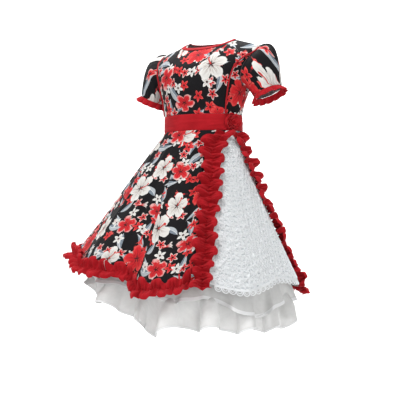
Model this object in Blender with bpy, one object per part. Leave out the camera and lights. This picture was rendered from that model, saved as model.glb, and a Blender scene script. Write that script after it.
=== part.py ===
"""Cueca dress, as worn: a fitted floral bodice with puff sleeves, a red waistband with a rosette,
a flared skirt opened at the wearer's left over a white lace godet, and two organza petticoats.

Metres. +Z is up, the wearer faces -Y and the wearer's left is +X. The origin is the point midway
between the shoulders where the dress hangs. Angles round the body are in degrees from the centre
front towards the wearer's left.
"""

import math

import bmesh
import bpy
import numpy as np

# Driving dimensions
SEAM = 0.0003
GODET_SEAM = 0.0012
CLOTH = 0.0016
RUFFLE_CLOTH = 0.0020
ORGANZA = 0.0010

SHOULDER_HALF_WIDTH = 0.176
NECK_HALF_WIDTH = 0.083
NECK_DROP_FRONT = 0.031
NECK_DROP_BACK = 0.008
SHOULDER_SLOPE = 0.30
ARMPIT_Z = -0.165
ARMHOLE_HALF_ANGLE = 24.0

PIPING_RADIUS = 0.0016
BINDING_DEPTH = 0.008

SLEEVE_TURNS = 32
SLEEVE_GATHERS = 8
GATHER_DEPTH = 0.0022
CUFF_CENTRE = np.array((0.217, -0.014, -0.181))
CUFF_RADIUS = 0.047
CUFF_TILT = 24.0
FRILL_TURNS = 48

BAND_TOP = -0.2500
BAND_HEIGHT = 0.052
BAND_BULGE = 0.0012
ROSETTE_RADIUS = 0.0268
ROSETTE_HEIGHT = 0.016
ROSETTE_ANGLE = 69.0

RUFFLE_HALF_WIDTH = 0.035
RUFFLE_WAVE = 0.042
RUFFLE_LIFT = 0.0085
RUFFLE_BASE = 0.0019
HEM_RUFFLE_BASE = 0.0032

LOOP_COUNT = 22
LOOP_HEIGHT = 0.017
LOOP_STRAND = 0.0035
LOOP_GAP = 0.0012

# Trunk sections from the waist to the shoulder line. half_width and the two depths are measured
# from the section's own centre, and corner is the exponent that squares the section's corners.
TRUNK = {
    "z": (-0.250, -0.205, -0.165, -0.130, -0.100, -0.075, -0.050, -0.030, -0.014, 0.0),
    "half_width": (0.134, 0.142, 0.153, 0.163, 0.172, 0.179, 0.184, 0.184, 0.181, 0.176),
    "front": (0.103, 0.113, 0.126, 0.131, 0.124, 0.106, 0.083, 0.059, 0.034, 0.0004),
    "back": (0.095, 0.099, 0.104, 0.107, 0.106, 0.100, 0.087, 0.067, 0.042, 0.0004),
    "centre_x": (-0.012, -0.010, -0.008, -0.006, -0.005, -0.004, -0.002, -0.001, 0.0, 0.0),
    "centre_y": (-0.035, -0.031, -0.026, -0.021, -0.017, -0.013, -0.009, -0.006, -0.003, 0.0),
    "corner": (2.0, 2.05, 2.15, 2.25, 2.4, 2.5, 2.6, 2.6, 2.5, 2.4),
}

# Princess seam: its angle at each height, up to where it meets the armhole.
PRINCESS = {
    "z": (-0.250, -0.205, -0.165, -0.130, -0.100, -0.080, -0.060, -0.045),
    "angle": (58.0, 56.5, 55.0, 54.0, 54.0, 56.0, 61.0, 69.0),
}

# Cuff frill: how far below the cuff each ring lies, how far it flares, and the height of its waves.
FRILL = (
    {"drop": 0.0006, "flare": -0.0002, "wave": 0.0},
    {"drop": 0.008, "flare": 0.0045, "wave": 0.0022},
    {"drop": 0.019, "flare": 0.0095, "wave": 0.0050},
)

# Skirt cone: flare from the vertical, how far it bells inward above the hem, and slant length of the
# floral cloth round the body.
SKIRT = {
    "angle": (-180, -130, -90, -60, -30, -12, 6, 20, 33, 60, 90, 113, 145, 180),
    "flare": (25.0, 31.0, 35.0, 36.5, 34.5, 33.0, 32.0, 31.0, 29.5, 26.5, 22.0, 20.0, 21.0, 25.0),
    "bell": (0.12, 0.08, 0.08, 0.08, 0.06, 0.04, 0.04, 0.04, 0.05, 0.14, 0.28, 0.34, 0.28, 0.12),
    "slant": (0.545, 0.525, 0.50, 0.50, 0.52, 0.52, 0.568, 0.552, 0.518, 0.52, 0.525, 0.53, 0.54, 0.545),
}
LACE_HEM = {
    "angle": (33, 43, 53, 65, 78, 92, 104, 114),
    "slant": (0.518, 0.530, 0.538, 0.518, 0.494, 0.500, 0.496, 0.512),
}
WAIST_HALF_WIDTH = 0.1345
WAIST_HALF_DEPTH = 0.1035

# Skirt folds: where each crest or valley lies, its angular half width, and its depth at the hem.
FOLDS = (
    {"angle": -170, "width": 11, "depth": 0.016},
    {"angle": -146, "width": 9, "depth": -0.020},
    {"angle": -124, "width": 12, "depth": 0.018},
    {"angle": -98, "width": 9, "depth": -0.022},
    {"angle": -74, "width": 11, "depth": 0.014},
    {"angle": -50, "width": 9, "depth": -0.016},
    {"angle": -27, "width": 11, "depth": 0.012},
    {"angle": -5, "width": 8, "depth": -0.036},
    {"angle": 15, "width": 10, "depth": 0.018},
    {"angle": 52, "width": 11, "depth": 0.010},
    {"angle": 74, "width": 11, "depth": -0.010},
    {"angle": 96, "width": 11, "depth": 0.008},
    {"angle": 128, "width": 10, "depth": -0.018},
    {"angle": 152, "width": 11, "depth": 0.018},
    {"angle": 172, "width": 8, "depth": -0.014},
)
FOLD_START = 0.18

# Godet seams: the angle of the front and back seam at each fraction of the skirt's slant.
GODET = {
    "slant": (0.0, 0.04, 0.10, 0.25, 0.50, 0.75, 1.0, 1.2),
    "front": (60.0, 50.0, 42.0, 38.5, 36.0, 34.5, 33.5, 33.0),
    "back": (78.0, 81.5, 84.5, 89.0, 98.0, 107.0, 113.0, 116.0),
}

# Petticoat hems below the waist, measured down the slant in metres, and their waves.
UPPER_HEM = {
    "angle": (-180, -120, -60, -20, 15, 40, 58, 76, 95, 116, 150, 180),
    "slant": (0.575, 0.560, 0.515, 0.540, 0.570, 0.560, 0.605, 0.575, 0.555, 0.572, 0.580, 0.575),
}
LOWER_HEM = {
    "angle": (-180, -140, -105, -80, -55, -35, -18, -5, 12, 25, 60, 90, 112, 132, 155, 180),
    "slant": (0.640, 0.625, 0.575, 0.535, 0.525, 0.560, 0.600, 0.630, 0.660, 0.635, 0.635, 0.625, 0.590, 0.592, 0.625, 0.640),
}
PETTICOAT_TURN = 0.85
PETTICOAT_FALL = 12.0
UPPER_WAVES = 15
LOWER_WAVES = 19

COLOURS = {
    "print": (0.035, 0.030, 0.032),
    "red": (0.55, 0.045, 0.06),
    "lace": (0.86, 0.87, 0.88),
    "organza": (0.80, 0.81, 0.81),
}


def radians(angle):
    return angle * math.pi / 180.0


def read(table, key, column, at):
    """A table's column at one place, on a smooth curve through its rows."""
    xs, ys = table[key], table[column]
    if at <= xs[0]:
        return ys[0]
    if at >= xs[-1]:
        return ys[-1]
    i = max(k for k in range(len(xs) - 1) if xs[k] <= at)
    span = xs[i + 1] - xs[i]
    rise = (ys[i + 1] - ys[i]) / span
    before = (ys[i] - ys[i - 1]) / (xs[i] - xs[i - 1]) if i else rise
    after = (ys[i + 2] - ys[i + 1]) / (xs[i + 2] - xs[i + 1]) if i + 2 < len(xs) else rise
    start = 0.5 * (before + rise) if before * rise > 0 else 0.0
    end = 0.5 * (rise + after) if rise * after > 0 else 0.0
    u = (at - xs[i]) / span
    return (
        ys[i] * (1 + 2 * u) * (1 - u) ** 2
        + ys[i + 1] * u * u * (3 - 2 * u)
        + span * (start * u * (1 - u) ** 2 - end * u * u * (1 - u))
    )


def powered(value, exponent):
    return math.copysign(abs(value) ** (2.0 / exponent), value)


def unit(vector):
    return vector / np.linalg.norm(vector)


def material(name):
    made = bpy.data.materials.get(name)
    if made is None:
        made = bpy.data.materials.new(name)
        made.use_nodes = True
        shader = made.node_tree.nodes["Principled BSDF"]
        shader.inputs["Base Color"].default_value = (*COLOURS[name], 1.0)
        shader.inputs["Roughness"].default_value = 0.85
        shader.inputs["Metallic"].default_value = 0.0
    return made


def add_mesh(name, mesh, finish):
    thing = bpy.data.objects.new(name, mesh)
    mesh.materials.append(material(finish))
    mesh.shade_smooth()
    mesh.set_sharp_from_angle(angle=radians(50))
    dress.objects.link(thing)
    return thing


def wall(name, outer, inner, finish, wrapped=False, holes=()):
    """A closed cloth wall between two like grids of points, with its rims. holes are cells left out."""
    rows, columns = len(outer), len(outer[0])
    cells = columns if wrapped else columns - 1
    build = bmesh.new()
    out = [[build.verts.new(p) for p in row] for row in outer]
    inn = [[build.verts.new(p) for p in row] for row in inner]
    there = {(i, j) for i in range(rows - 1) for j in range(cells)} - set(holes)
    for i, j in there:
        k = (j + 1) % columns
        build.faces.new((out[i][j], out[i][k], out[i + 1][k], out[i + 1][j]))
        build.faces.new((inn[i][j], inn[i + 1][j], inn[i + 1][k], inn[i][k]))
        left = (i, (j - 1) % cells if wrapped else j - 1)
        right = (i, (j + 1) % cells if wrapped else j + 1)
        if (i - 1, j) not in there:
            build.faces.new((out[i][k], out[i][j], inn[i][j], inn[i][k]))
        if (i + 1, j) not in there:
            build.faces.new((out[i + 1][j], out[i + 1][k], inn[i + 1][k], inn[i + 1][j]))
        if left not in there:
            build.faces.new((out[i][j], out[i + 1][j], inn[i + 1][j], inn[i][j]))
        if right not in there:
            build.faces.new((out[i + 1][k], out[i][k], inn[i][k], inn[i + 1][k]))
    loose = [v for v in build.verts if not v.link_faces]
    bmesh.ops.delete(build, geom=loose, context="VERTS")
    bmesh.ops.triangulate(build, faces=build.faces)
    if build.calc_volume(signed=True) < 0:
        bmesh.ops.reverse_faces(build, faces=build.faces)
    mesh = bpy.data.meshes.new(name)
    build.to_mesh(mesh)
    build.free()
    return add_mesh(name, mesh, finish)


def piping(name, points, radius, finish):
    """A round cord through the points, as a curve with capped ends."""
    curve = bpy.data.curves.new(name, "CURVE")
    curve.dimensions = "3D"
    curve.bevel_depth = radius
    curve.bevel_resolution = 2
    curve.use_fill_caps = True
    line = curve.splines.new("POLY")
    line.points.add(len(points) - 1)
    for place, point in zip(line.points, points):
        place.co = (*point, 1.0)
    curve.materials.append(material(finish))
    thing = bpy.data.objects.new(name, curve)
    dress.objects.link(thing)
    return thing


# Bodice

def trunk_point(angle, z):
    """The bodice's outer surface at an angle and at its height before the shoulders slope."""
    at = {column: read(TRUNK, "z", column, z) for column in TRUNK if column != "z"}
    turn = radians(angle)
    across = powered(math.sin(turn), at["corner"])
    along = powered(math.cos(turn), at["corner"])
    depth = at["front"] if math.cos(turn) > 0 else at["back"]
    x = at["half_width"] * across
    raised = min(1.0, max(0.0, (z - ARMPIT_Z) / -ARMPIT_Z))
    slope = SHOULDER_SLOPE * max(0.0, abs(x) - NECK_HALF_WIDTH) * raised * raised
    return np.array((x + at["centre_x"], at["centre_y"] - depth * along, z - slope))


def trunk_normal(angle, z):
    """Outward from the bodice, straight up along the shoulder line so that both sides agree."""
    step, rise = 0.5, 0.001
    if abs(math.cos(radians(angle))) < 0.02:
        angle = 89.0 if angle > 0 else -89.0
    low, high = max(z - rise, BAND_TOP), min(z + rise, 0.0)
    turn = trunk_point(angle + step, z) - trunk_point(angle - step, z)
    climb = trunk_point(angle, high) - trunk_point(angle, low)
    normal = unit(np.cross(turn, climb))
    if z > -0.002:
        normal = unit(np.array((normal[0] * 0.3, 0.0, max(normal[2], 0.2))))
    if abs(abs(angle) - 90.0) < 2.0:
        normal = unit(np.array((normal[0], 0.0, normal[2])))
    return normal


def armhole_half_angle(z):
    """How far the armhole opens to each side of the side line at a height."""
    if z <= ARMPIT_Z:
        return 0.0
    rise = (z - ARMPIT_Z) / -ARMPIT_Z
    return ARMHOLE_HALF_ANGLE * math.sqrt(max(0.0, math.sin(math.pi * rise ** 0.85)))


def princess_angle(z):
    return read(PRINCESS, "z", "angle", z)


def neck_edge(turn, grow=0.0):
    """The neckline at a turn of 0 at the centre front and 180 at the centre back, as angle and height."""
    side = math.degrees(math.asin((NECK_HALF_WIDTH / SHOULDER_HALF_WIDTH) ** 1.2))
    drop = NECK_DROP_FRONT if math.cos(radians(turn)) > 0 else NECK_DROP_BACK
    reach = side + grow / SHOULDER_HALF_WIDTH * 57.3
    off = reach * math.sin(radians(turn))
    height = -(drop + grow) * abs(math.cos(radians(turn)))
    return (off if math.cos(radians(turn)) >= 0 else math.copysign(180.0, off or 1.0) - off), height


def neck_height(angle):
    """The height of the neckline over a column at this angle, or the shoulder line beside the neck."""
    reach = neck_edge(90.0)[0]
    away = min(abs(angle), 180.0 - abs(angle))
    if away >= reach:
        return 0.0
    drop = NECK_DROP_FRONT if abs(angle) < 90.0 else NECK_DROP_BACK
    return -drop * math.sqrt(1.0 - (away / reach) ** 2)


def trunk_wall(name, heights, angle_at, shares, aside, top_at=None):
    """A bodice panel between two seam lines. aside moves it off the side and shoulder seams in Y."""
    outer, inner = [], []
    for i, z in enumerate(heights):
        row_out, row_in = [], []
        for share in shares:
            top = top_at(share) if top_at else heights[-1]
            reach = (z - heights[0]) / (heights[-1] - heights[0])
            height = heights[0] + (top - heights[0]) * reach
            angle = angle_at(share, height)
            point = trunk_point(angle, height) + np.array((0.0, aside, 0.0))
            row_out.append(point)
            row_in.append(point - trunk_normal(angle, height) * CLOTH)
        outer.append(row_out)
        inner.append(row_in)
    wall(name, outer, inner, "print")


def make_bodice():
    """Centre front, two side fronts, two backs and the piping of the princess seams."""
    seam = math.degrees(SEAM / 2 / TRUNK["half_width"][0])
    aside = SEAM * 0.7
    rows = [BAND_TOP + SEAM, -0.225, -0.20, ARMPIT_Z, -0.135, -0.11]
    rows += [-0.085, -0.065, -0.045, -0.028, -0.014, 0.0]
    seam_end = PRINCESS["z"][-1]

    def boundary(z):
        if z < seam_end:
            return princess_angle(z) - seam
        armhole = 90.0 - armhole_half_angle(z)
        blend = min(1.0, (z - seam_end) / 0.012)
        return (princess_angle(seam_end) - seam) * (1 - blend) + armhole * blend

    neck_share = neck_edge(90.0)[0] / 90.0
    inside = [neck_share * s for s in (0.0, 0.35, 0.65, 0.88, 1.0)]
    halves = inside + [neck_share + (1 - neck_share) * s for s in (0.25, 0.5, 0.75, 1.0)]
    shares = [-s for s in halves[:0:-1]] + halves
    def front_top(share):
        return neck_height(share * 90.0)

    trunk_wall("bodice_front", rows, lambda s, z: s * boundary(z), shares, -aside, front_top)

    for side, name in ((1, "left"), (-1, "right")):
        heights = [z for z in rows if z < seam_end - 0.01] + [seam_end - 0.006]

        def across(share, z, side=side):
            start = princess_angle(z) + seam
            end = 90.0 - armhole_half_angle(z)
            return side * (start + (max(end, start + 1.5) - start) * share)

        trunk_wall("bodice_side_front_" + name, heights, across, (0.0, 0.3, 0.65, 1.0), -aside)

        def behind(share, z, side=side):
            start = 90.0 + armhole_half_angle(z)
            return side * (start + (180.0 - seam - start) * share)

        def back_top(share):
            return neck_height(90.0 + (90.0 - seam) * share)

        back = (0.0, 0.2, 0.4, 0.6, 1.0 - neck_share, 0.80, 0.90, 1.0)
        trunk_wall("bodice_back_" + name, rows, behind, back, aside, back_top)

        line = []
        for z in np.linspace(BAND_TOP + 0.002, seam_end - 0.004, 17):
            angle = side * princess_angle(z)
            line.append(trunk_point(angle, z) + trunk_normal(angle, z) * (PIPING_RADIUS + 2 * SEAM))
        piping("princess_piping_" + name, line, PIPING_RADIUS, "red")


def make_neck_binding():
    """The bias strip folded over the neck edge, seen as a narrow band that lies on the panels."""
    lift, cloth, turns = 0.0007, 0.0014, 48
    outer, inner = [], []
    for grow in (-cloth, BINDING_DEPTH):
        row_out, row_in = [], []
        for k in range(turns):
            turn = -180.0 + 360.0 * k / turns
            side = -1 if turn < 0 else 1
            angle, z = neck_edge(abs(turn), grow)
            z = min(z, 0.0)
            point, normal = trunk_point(side * abs(angle), z), trunk_normal(side * abs(angle), z)
            row_out.append(point + normal * (lift + cloth))
            row_in.append(point + normal * lift)
        outer.append(row_out)
        inner.append(row_in)
    wall("neck_binding", outer, inner, "red", wrapped=True)


# Sleeves

def armhole_point(turn, side):
    """The armhole edge at a turn of 0 at the shoulder tip, 90 in front and 180 at the armpit."""
    height = ARMPIT_Z * 0.5 * (1 - math.cos(radians(turn)))
    height = min(height, -0.0006)
    half = armhole_half_angle(height)
    angle = 90.0 - half if turn <= 180.0 else 90.0 + half
    return side * angle, height


def cuff_point(turn, side, radius, drop=0.0):
    tilt = radians(CUFF_TILT)
    out = np.array((math.cos(tilt), 0.0, math.sin(tilt)))
    down = np.array((math.sin(tilt), 0.0, -math.cos(tilt)))
    point = CUFF_CENTRE + radius * (
        out * math.cos(radians(turn)) - np.array((0, 1.0, 0)) * math.sin(radians(turn))
    )
    return (point + down * drop) * np.array((side, 1, 1)) + np.array((-0.003, 0.0, 0.0))


def sleeve_point(turn, w, side):
    """The sleeve from the armhole at w = 0 to the cuff at w = 1, gathered at both ends."""
    angle, height = armhole_point(turn, side)
    normal = trunk_normal(angle, height)
    start = trunk_point(angle, height) + normal * 0.0004
    hub = np.array((side * 0.163, -0.010, -0.105))
    away = start - hub
    away[0] = 0.0
    away = unit(away)
    start = start - away * 0.0012 + np.array((side * 0.0009, 0, 0))
    top = 0.5 * (1 + math.cos(radians(turn)))
    end = cuff_point(turn, side, CUFF_RADIUS)
    centre = cuff_point(0, side, 0.0)
    inward = unit(centre - end)
    tilt = radians(CUFF_TILT)
    down = np.array((side * math.sin(tilt), 0.0, -math.cos(tilt)))
    reach = 0.040 + 0.175 * top ** 0.8
    rise = 0.30 + 0.28 * math.sin(radians(turn)) ** 2
    leave = unit(np.array((side, 0, 0)) + away * rise) * reach
    arrive = unit(down + inward * 0.30) * reach
    point = (
        start * (1 + 2 * w) * (1 - w) ** 2
        + end * w * w * (3 - 2 * w)
        + leave * w * (1 - w) ** 2
        - arrive * w * w * (1 - w)
    )
    middle = start * (1 - w) + centre * w
    out = unit(point - middle + np.array((side * 0.3, 0, 0.2)) * (1 - w) * 0.05)
    wave = math.cos(radians(turn * SLEEVE_GATHERS)) * math.sin(math.pi * w) * (1 - 0.45 * w)
    return point + out * GATHER_DEPTH * wave


def tube_normals(points):
    """The outward normals of a grid of points closed round its columns, evened out where it comes to a peak."""
    across = np.roll(points, -1, axis=1) - np.roll(points, 1, axis=1)
    normal = np.cross(across, np.gradient(points, axis=0))
    normal = normal / np.linalg.norm(normal, axis=2, keepdims=True)
    for _ in range(2):
        normal = 2 * normal + np.roll(normal, -1, axis=1) + np.roll(normal, 1, axis=1)
        normal = normal / np.linalg.norm(normal, axis=2, keepdims=True)
    outward = (normal * (points - points.mean(axis=(0, 1)))).sum()
    return normal if outward > 0 else -normal


def make_sleeves():
    """Both puff sleeves, and the gathered frill below each cuff."""
    for side, name in ((1, "left"), (-1, "right")):
        turns = [360.0 * k / SLEEVE_TURNS for k in range(SLEEVE_TURNS)]
        shares = (0.0, 0.14, 0.32, 0.52, 0.72, 0.88, 1.0)
        outer = np.array([[sleeve_point(t, w, side) for t in turns] for w in shares])
        inner = outer - tube_normals(outer) * CLOTH
        wall("sleeve_" + name, outer, inner, "print", wrapped=True)

        outer, inner = [], []
        for row in FRILL:
            row_out, row_in = [], []
            drop = row["drop"]
            for k in range(FRILL_TURNS):
                turn = 360.0 * k / FRILL_TURNS
                size = CUFF_RADIUS + row["flare"] + row["wave"] * (1, 0, -1, 0)[k % 4]
                row_out.append(cuff_point(turn, side, size, drop))
                row_in.append(cuff_point(turn, side, size - CLOTH, drop))
            outer.append(row_out)
            inner.append(row_in)
        wall("sleeve_ruffle_" + name, outer, inner, "red", wrapped=True)


# Waist

def waist_point(angle, z, out=0.0):
    """The waistband's outer surface, a short cone that carries on from the bodice."""
    turn = radians(angle)
    at = {c: read(TRUNK, "z", c, BAND_TOP) for c in ("half_width", "front", "back", "centre_x", "centre_y")}
    depth = at["front"] if math.cos(turn) > 0 else at["back"]
    down = (BAND_TOP - z) / BAND_HEIGHT
    half_depth = depth * (1 - down) + WAIST_HALF_DEPTH * down
    half_width = at["half_width"] * (1 - down) + WAIST_HALF_WIDTH * down
    x = at["centre_x"] + half_width * math.sin(turn)
    y = at["centre_y"] - half_depth * math.cos(turn)
    return np.array((x, y, z)) + flat_normal(angle) * out


def flat_normal(angle):
    """Level and outward from the waist ellipse."""
    turn = radians(angle)
    return unit(np.array((math.sin(turn) * WAIST_HALF_DEPTH, -math.cos(turn) * WAIST_HALF_WIDTH, 0.0)))


def make_waistband():
    """The plain band between bodice and skirt, a little proud of both."""
    angles = [10.0 * k for k in range(36)]
    outer, inner = [], []
    for share, bulge in ((0.0, 0.0), (0.12, 1.0), (0.88, 1.0), (1.0, 0.0)):
        z = BAND_TOP - SEAM / 2 - share * (BAND_HEIGHT - SEAM)
        outer.append([waist_point(a, z, 0.0006 + BAND_BULGE * bulge) for a in angles])
        inner.append([waist_point(a, z, -CLOTH) for a in angles])
    wall("waistband", outer, inner, "red", wrapped=True)


def make_rosette():
    """A strip coiled and gathered into a domed rose: a body of revolution with lobes that turn inward."""
    rings = (
        {"radius": 0.45, "height": 0.00, "lobe": 0.00},
        {"radius": 0.90, "height": 0.05, "lobe": 0.05},
        {"radius": 1.00, "height": 0.30, "lobe": 0.08},
        {"radius": 0.86, "height": 0.62, "lobe": 0.08},
        {"radius": 0.74, "height": 0.56, "lobe": 0.06},
        {"radius": 0.62, "height": 0.86, "lobe": 0.07},
        {"radius": 0.48, "height": 0.76, "lobe": 0.06},
        {"radius": 0.36, "height": 1.00, "lobe": 0.05},
        {"radius": 0.20, "height": 0.88, "lobe": 0.02},
    )
    z = BAND_TOP - BAND_HEIGHT / 2
    base = waist_point(ROSETTE_ANGLE, z, BAND_BULGE + 0.0006)
    out = flat_normal(ROSETTE_ANGLE)
    side = unit(np.cross(np.array((0, 0, 1.0)), out))
    up = np.array((0, 0, 1.0))
    base = base + out * 0.0006
    build = bmesh.new()
    loops = []
    count = 20
    for level, ring in enumerate(rings):
        loop = []
        for k in range(count):
            turn = 2 * math.pi * (k + 0.5 * (level % 2)) / count
            size = ROSETTE_RADIUS * (ring["radius"] + ring["lobe"] * math.cos(5 * turn + level * 0.9))
            lift = ROSETTE_HEIGHT * ring["height"]
            spoke = side * size * math.cos(turn) + up * size * math.sin(turn)
            loop.append(build.verts.new(base + spoke + out * lift))
        loops.append(loop)
    for low, high in zip(loops, loops[1:]):
        for k in range(count):
            build.faces.new((low[k], low[(k + 1) % count], high[(k + 1) % count], high[k]))
    build.faces.new(loops[0][::-1])
    build.faces.new(loops[-1])
    bmesh.ops.triangulate(build, faces=build.faces)
    if build.calc_volume(signed=True) < 0:
        bmesh.ops.reverse_faces(build, faces=build.faces)
    mesh = bpy.data.meshes.new("rosette")
    build.to_mesh(mesh)
    build.free()
    add_mesh("rosette", mesh, "red")


# Skirt

def flare_at(angle):
    return radians(read(SKIRT, "angle", "flare", angle))


def slant_at(angle):
    return read(SKIRT, "angle", "slant", angle)


def fold_depth(angle, s):
    """How far the folds push the cloth out or in at a fraction of the slant."""
    share = max(0.0, (s - FOLD_START) / (1 - FOLD_START))
    total = 0.0
    for fold in FOLDS:
        away = (angle - fold["angle"] + 180.0) % 360.0 - 180.0
        total += fold["depth"] * math.exp(-((away / fold["width"]) ** 2))
    return total * share ** 1.3


def skirt_out(angle):
    """Outward from the plain cone, the direction that each layer is moved and thickened in."""
    flare = flare_at(angle)
    return flat_normal(angle) * math.cos(flare) + np.array((0, 0, math.sin(flare)))


def skirt_point(angle, s, out=0.0, length=None):
    """The floral skirt's outer surface at an angle and a fraction of the slant, or a length down it."""
    down = s * slant_at(angle) if length is None else length
    flare = flare_at(angle)
    start = waist_point(angle, BAND_TOP - BAND_HEIGHT - SEAM / 2)
    radial = flat_normal(angle)
    bell = 1.0 - read(SKIRT, "angle", "bell", angle) * max(0.0, 1.0 - down / slant_at(angle))
    point = start + radial * down * math.sin(flare) * bell - np.array((0, 0, down * math.cos(flare)))
    return point + radial * fold_depth(angle, down / slant_at(angle)) + skirt_out(angle) * out


def godet_angle(edge, s):
    return read(GODET, "slant", edge, s)


GORES = (
    ("gore_front_left", 0.0, "front"),
    ("gore_front_right", -60.0, 0.0),
    ("gore_side_right", -120.0, -60.0),
    ("gore_back_right", -180.0, -120.0),
    ("gore_back_left", 146.0, 180.0),
    ("gore_side_left", "back", 146.0),
)


def gap_angle(s, edge=0.0):
    """Half a seam's gap as an angle at this distance down the skirt, wider where a ruffle hides a seam."""
    gap = GODET_SEAM if isinstance(edge, str) else SEAM
    return math.degrees(gap / 2 / (0.11 + 0.25 * s))


def seam_place(edge, s, hem):
    """A row's angle and fraction of the slant where it meets a seam, which is an angle or a godet edge."""
    angle, place = (godet_angle(edge, s) if isinstance(edge, str) else edge), s
    for _ in range(4 if hem else 0):
        place = s * hem(angle) / slant_at(angle)
        angle = godet_angle(edge, place)
    return angle


def skirt_wall(name, start, end, rows, columns, finish, thick, hem=None):
    """A skirt piece between two seams. A seam is an angle, or an edge of the godet."""
    outer, inner = [], []
    for s in rows:
        first = seam_place(start, s, hem) + gap_angle(s, start)
        last = seam_place(end, s, hem) - gap_angle(s, end)
        angles = [first + (last - first) * j / (columns - 1) for j in range(columns)]
        places = [s if hem is None else s * hem(a) / slant_at(a) for a in angles]
        outer.append([skirt_point(a, p) for a, p in zip(angles, places)])
        inner.append([skirt_point(a, p, -thick) for a, p in zip(angles, places)])
    return wall(name, outer, inner, finish)


SKIRT_ROWS = (0.0, 0.06, 0.14, 0.25, 0.38, 0.52, 0.66, 0.80, 0.91, 1.0)


def lace_hem(angle):
    """The slant length of the lace, which dips at the front of the godet."""
    return read(LACE_HEM, "angle", "slant", angle)


def make_skirt():
    """The floral gores, and the lace godet with its looped edging."""
    for name, start, end in GORES:
        span = {"gore_front_left": 8, "gore_side_left": 9, "gore_back_left": 8}.get(name, 12)
        skirt_wall(name, start, end, SKIRT_ROWS, span, "print", CLOTH)
    skirt_wall("lace_panel", "front", "back", SKIRT_ROWS, 18, "lace", CLOTH, hem=lace_hem)
    make_lace_loops()


def make_lace_loops():
    """The looped picot edging along the godet's hem: a narrow strip with an open loop at each scallop."""
    outer, inner = [], []
    first = godet_angle("front", 1.1) + 6.0
    pitch = (godet_angle("back", 1.1) - 6.0 - first) / LOOP_COUNT
    scallop = ((0.0, 0.6), (0.16, 1.0), (0.84, 1.0))
    corners = [(n + at, deep) for n in range(LOOP_COUNT) for at, deep in scallop]
    for share in (0.0, 0.22, 0.80, 1.0):
        row_out, row_in = [], []
        for place, deep in corners + [(LOOP_COUNT, 0.6)]:
            angle = first + pitch * place
            reach = LOOP_STRAND + share * (LOOP_HEIGHT - LOOP_STRAND) * deep
            length = lace_hem(angle) + LOOP_GAP + (share > 0) * reach
            row_out.append(skirt_point(angle, 0, 0.0, length))
            row_in.append(skirt_point(angle, 0, -CLOTH, length))
        outer.append(row_out)
        inner.append(row_in)
    holes = [(1, 3 * n + 1) for n in range(LOOP_COUNT)]
    wall("lace_loops", outer, inner, "lace", holes=holes)


# Ruffles

def twist(step, v):
    """The lift of a strip gathered along its middle: one edge is up where the other is down."""
    wave = (0.0, 1.0, 0.0, -1.0)[step % 4]
    return RUFFLE_LIFT * (abs(v) + v * wave)


def make_panel_ruffles():
    """A strip down each seam of the godet, narrowed under the rosette where the two meet."""
    top, bottom = 0.020, 1.055
    for edge, name in (("front", "panel_ruffle_front"), ("back", "panel_ruffle_back")):
        steps = 4 * int(slant_at(70.0) / RUFFLE_WAVE)
        outer, inner = [], []
        for k in range(steps + 1):
            s = top + (bottom - top) * k / steps
            middle = godet_angle(edge, s)
            half = RUFFLE_HALF_WIDTH * min(1.0, 0.46 + 7.0 * s)
            radius = 0.118 + 0.262 * s
            row_out, row_in = [], []
            for v in (-1.0, 0.0, 1.0):
                angle = middle + v * math.degrees(half / radius)
                lift = RUFFLE_BASE + twist(k, v) * min(1.0, 0.5 + 6.0 * s)
                row_out.append(skirt_point(angle, s, lift + RUFFLE_CLOTH))
                row_in.append(skirt_point(angle, s, lift))
            outer.append(row_out)
            inner.append(row_in)
        wall(name, outer, inner, "red")


def make_hem_ruffles():
    """Strips round the floral hem, half on the cloth and half below it, one for each gore."""
    clear, seam, pieces, steps = 6.4, 0.06, 6, 28
    start = godet_angle("back", 1.0) + clear
    end = godet_angle("front", 1.0) - clear + 360.0
    for p in range(pieces):
        first = start + (end - start) * p / pieces + seam
        last = start + (end - start) * (p + 1) / pieces - seam
        outer, inner = [], []
        for k in range(steps + 1):
            angle = first + (last - first) * k / steps
            angle = (angle + 180.0) % 360.0 - 180.0
            row_out, row_in = [], []
            for v in (-1.0, 0.0, 1.0):
                length = slant_at(angle) - 0.004 + v * RUFFLE_HALF_WIDTH * 0.9
                lift = HEM_RUFFLE_BASE + twist(k, v)
                row_out.append(skirt_point(angle, 0, lift + RUFFLE_CLOTH, length))
                row_in.append(skirt_point(angle, 0, lift, length))
            outer.append(row_out)
            inner.append(row_in)
        wall("hem_ruffle_%d" % (p + 1), outer, inner, "red")


# Petticoats

def petticoat_point(angle, share, layer, out=0.0):
    """An organza layer inside the skirt, waving freely once it hangs below the cloth over it."""
    table = UPPER_HEM if layer == 0 else LOWER_HEM
    length = share * read(table, "angle", "slant", angle)
    waves = UPPER_WAVES if layer == 0 else LOWER_WAVES
    s = length / slant_at(angle)
    start_gap = 0.0022 if layer == 0 else 0.0038
    full_gap = 0.019 if layer == 0 else 0.042
    gap = start_gap + (full_gap - start_gap) * min(1.0, s * 1.4)
    ripple = math.sin(radians(angle * waves) + (0.4 if layer == 0 else 1.9))
    size = 0.0060 * min(1.0, max(0.0, s - 0.25) * 1.8)
    over = lace_hem(angle) + LOOP_HEIGHT if 28.0 < angle < 120.0 else slant_at(angle)
    free = max(0.0, length - over * 0.97)
    size += min(1.0, free / 0.07) * (0.008 if layer == 0 else 0.007)
    point = skirt_point(angle, 0, ripple * size - gap + out, length)
    hang = max(0.0, length - PETTICOAT_TURN * slant_at(angle))
    flare = flare_at(angle)
    fall = flare - radians(PETTICOAT_FALL)
    level, upright = math.sin(fall) - math.sin(flare), math.cos(fall) - math.cos(flare)
    return point + hang * (flat_normal(angle) * level - np.array((0, 0, upright)))


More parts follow.
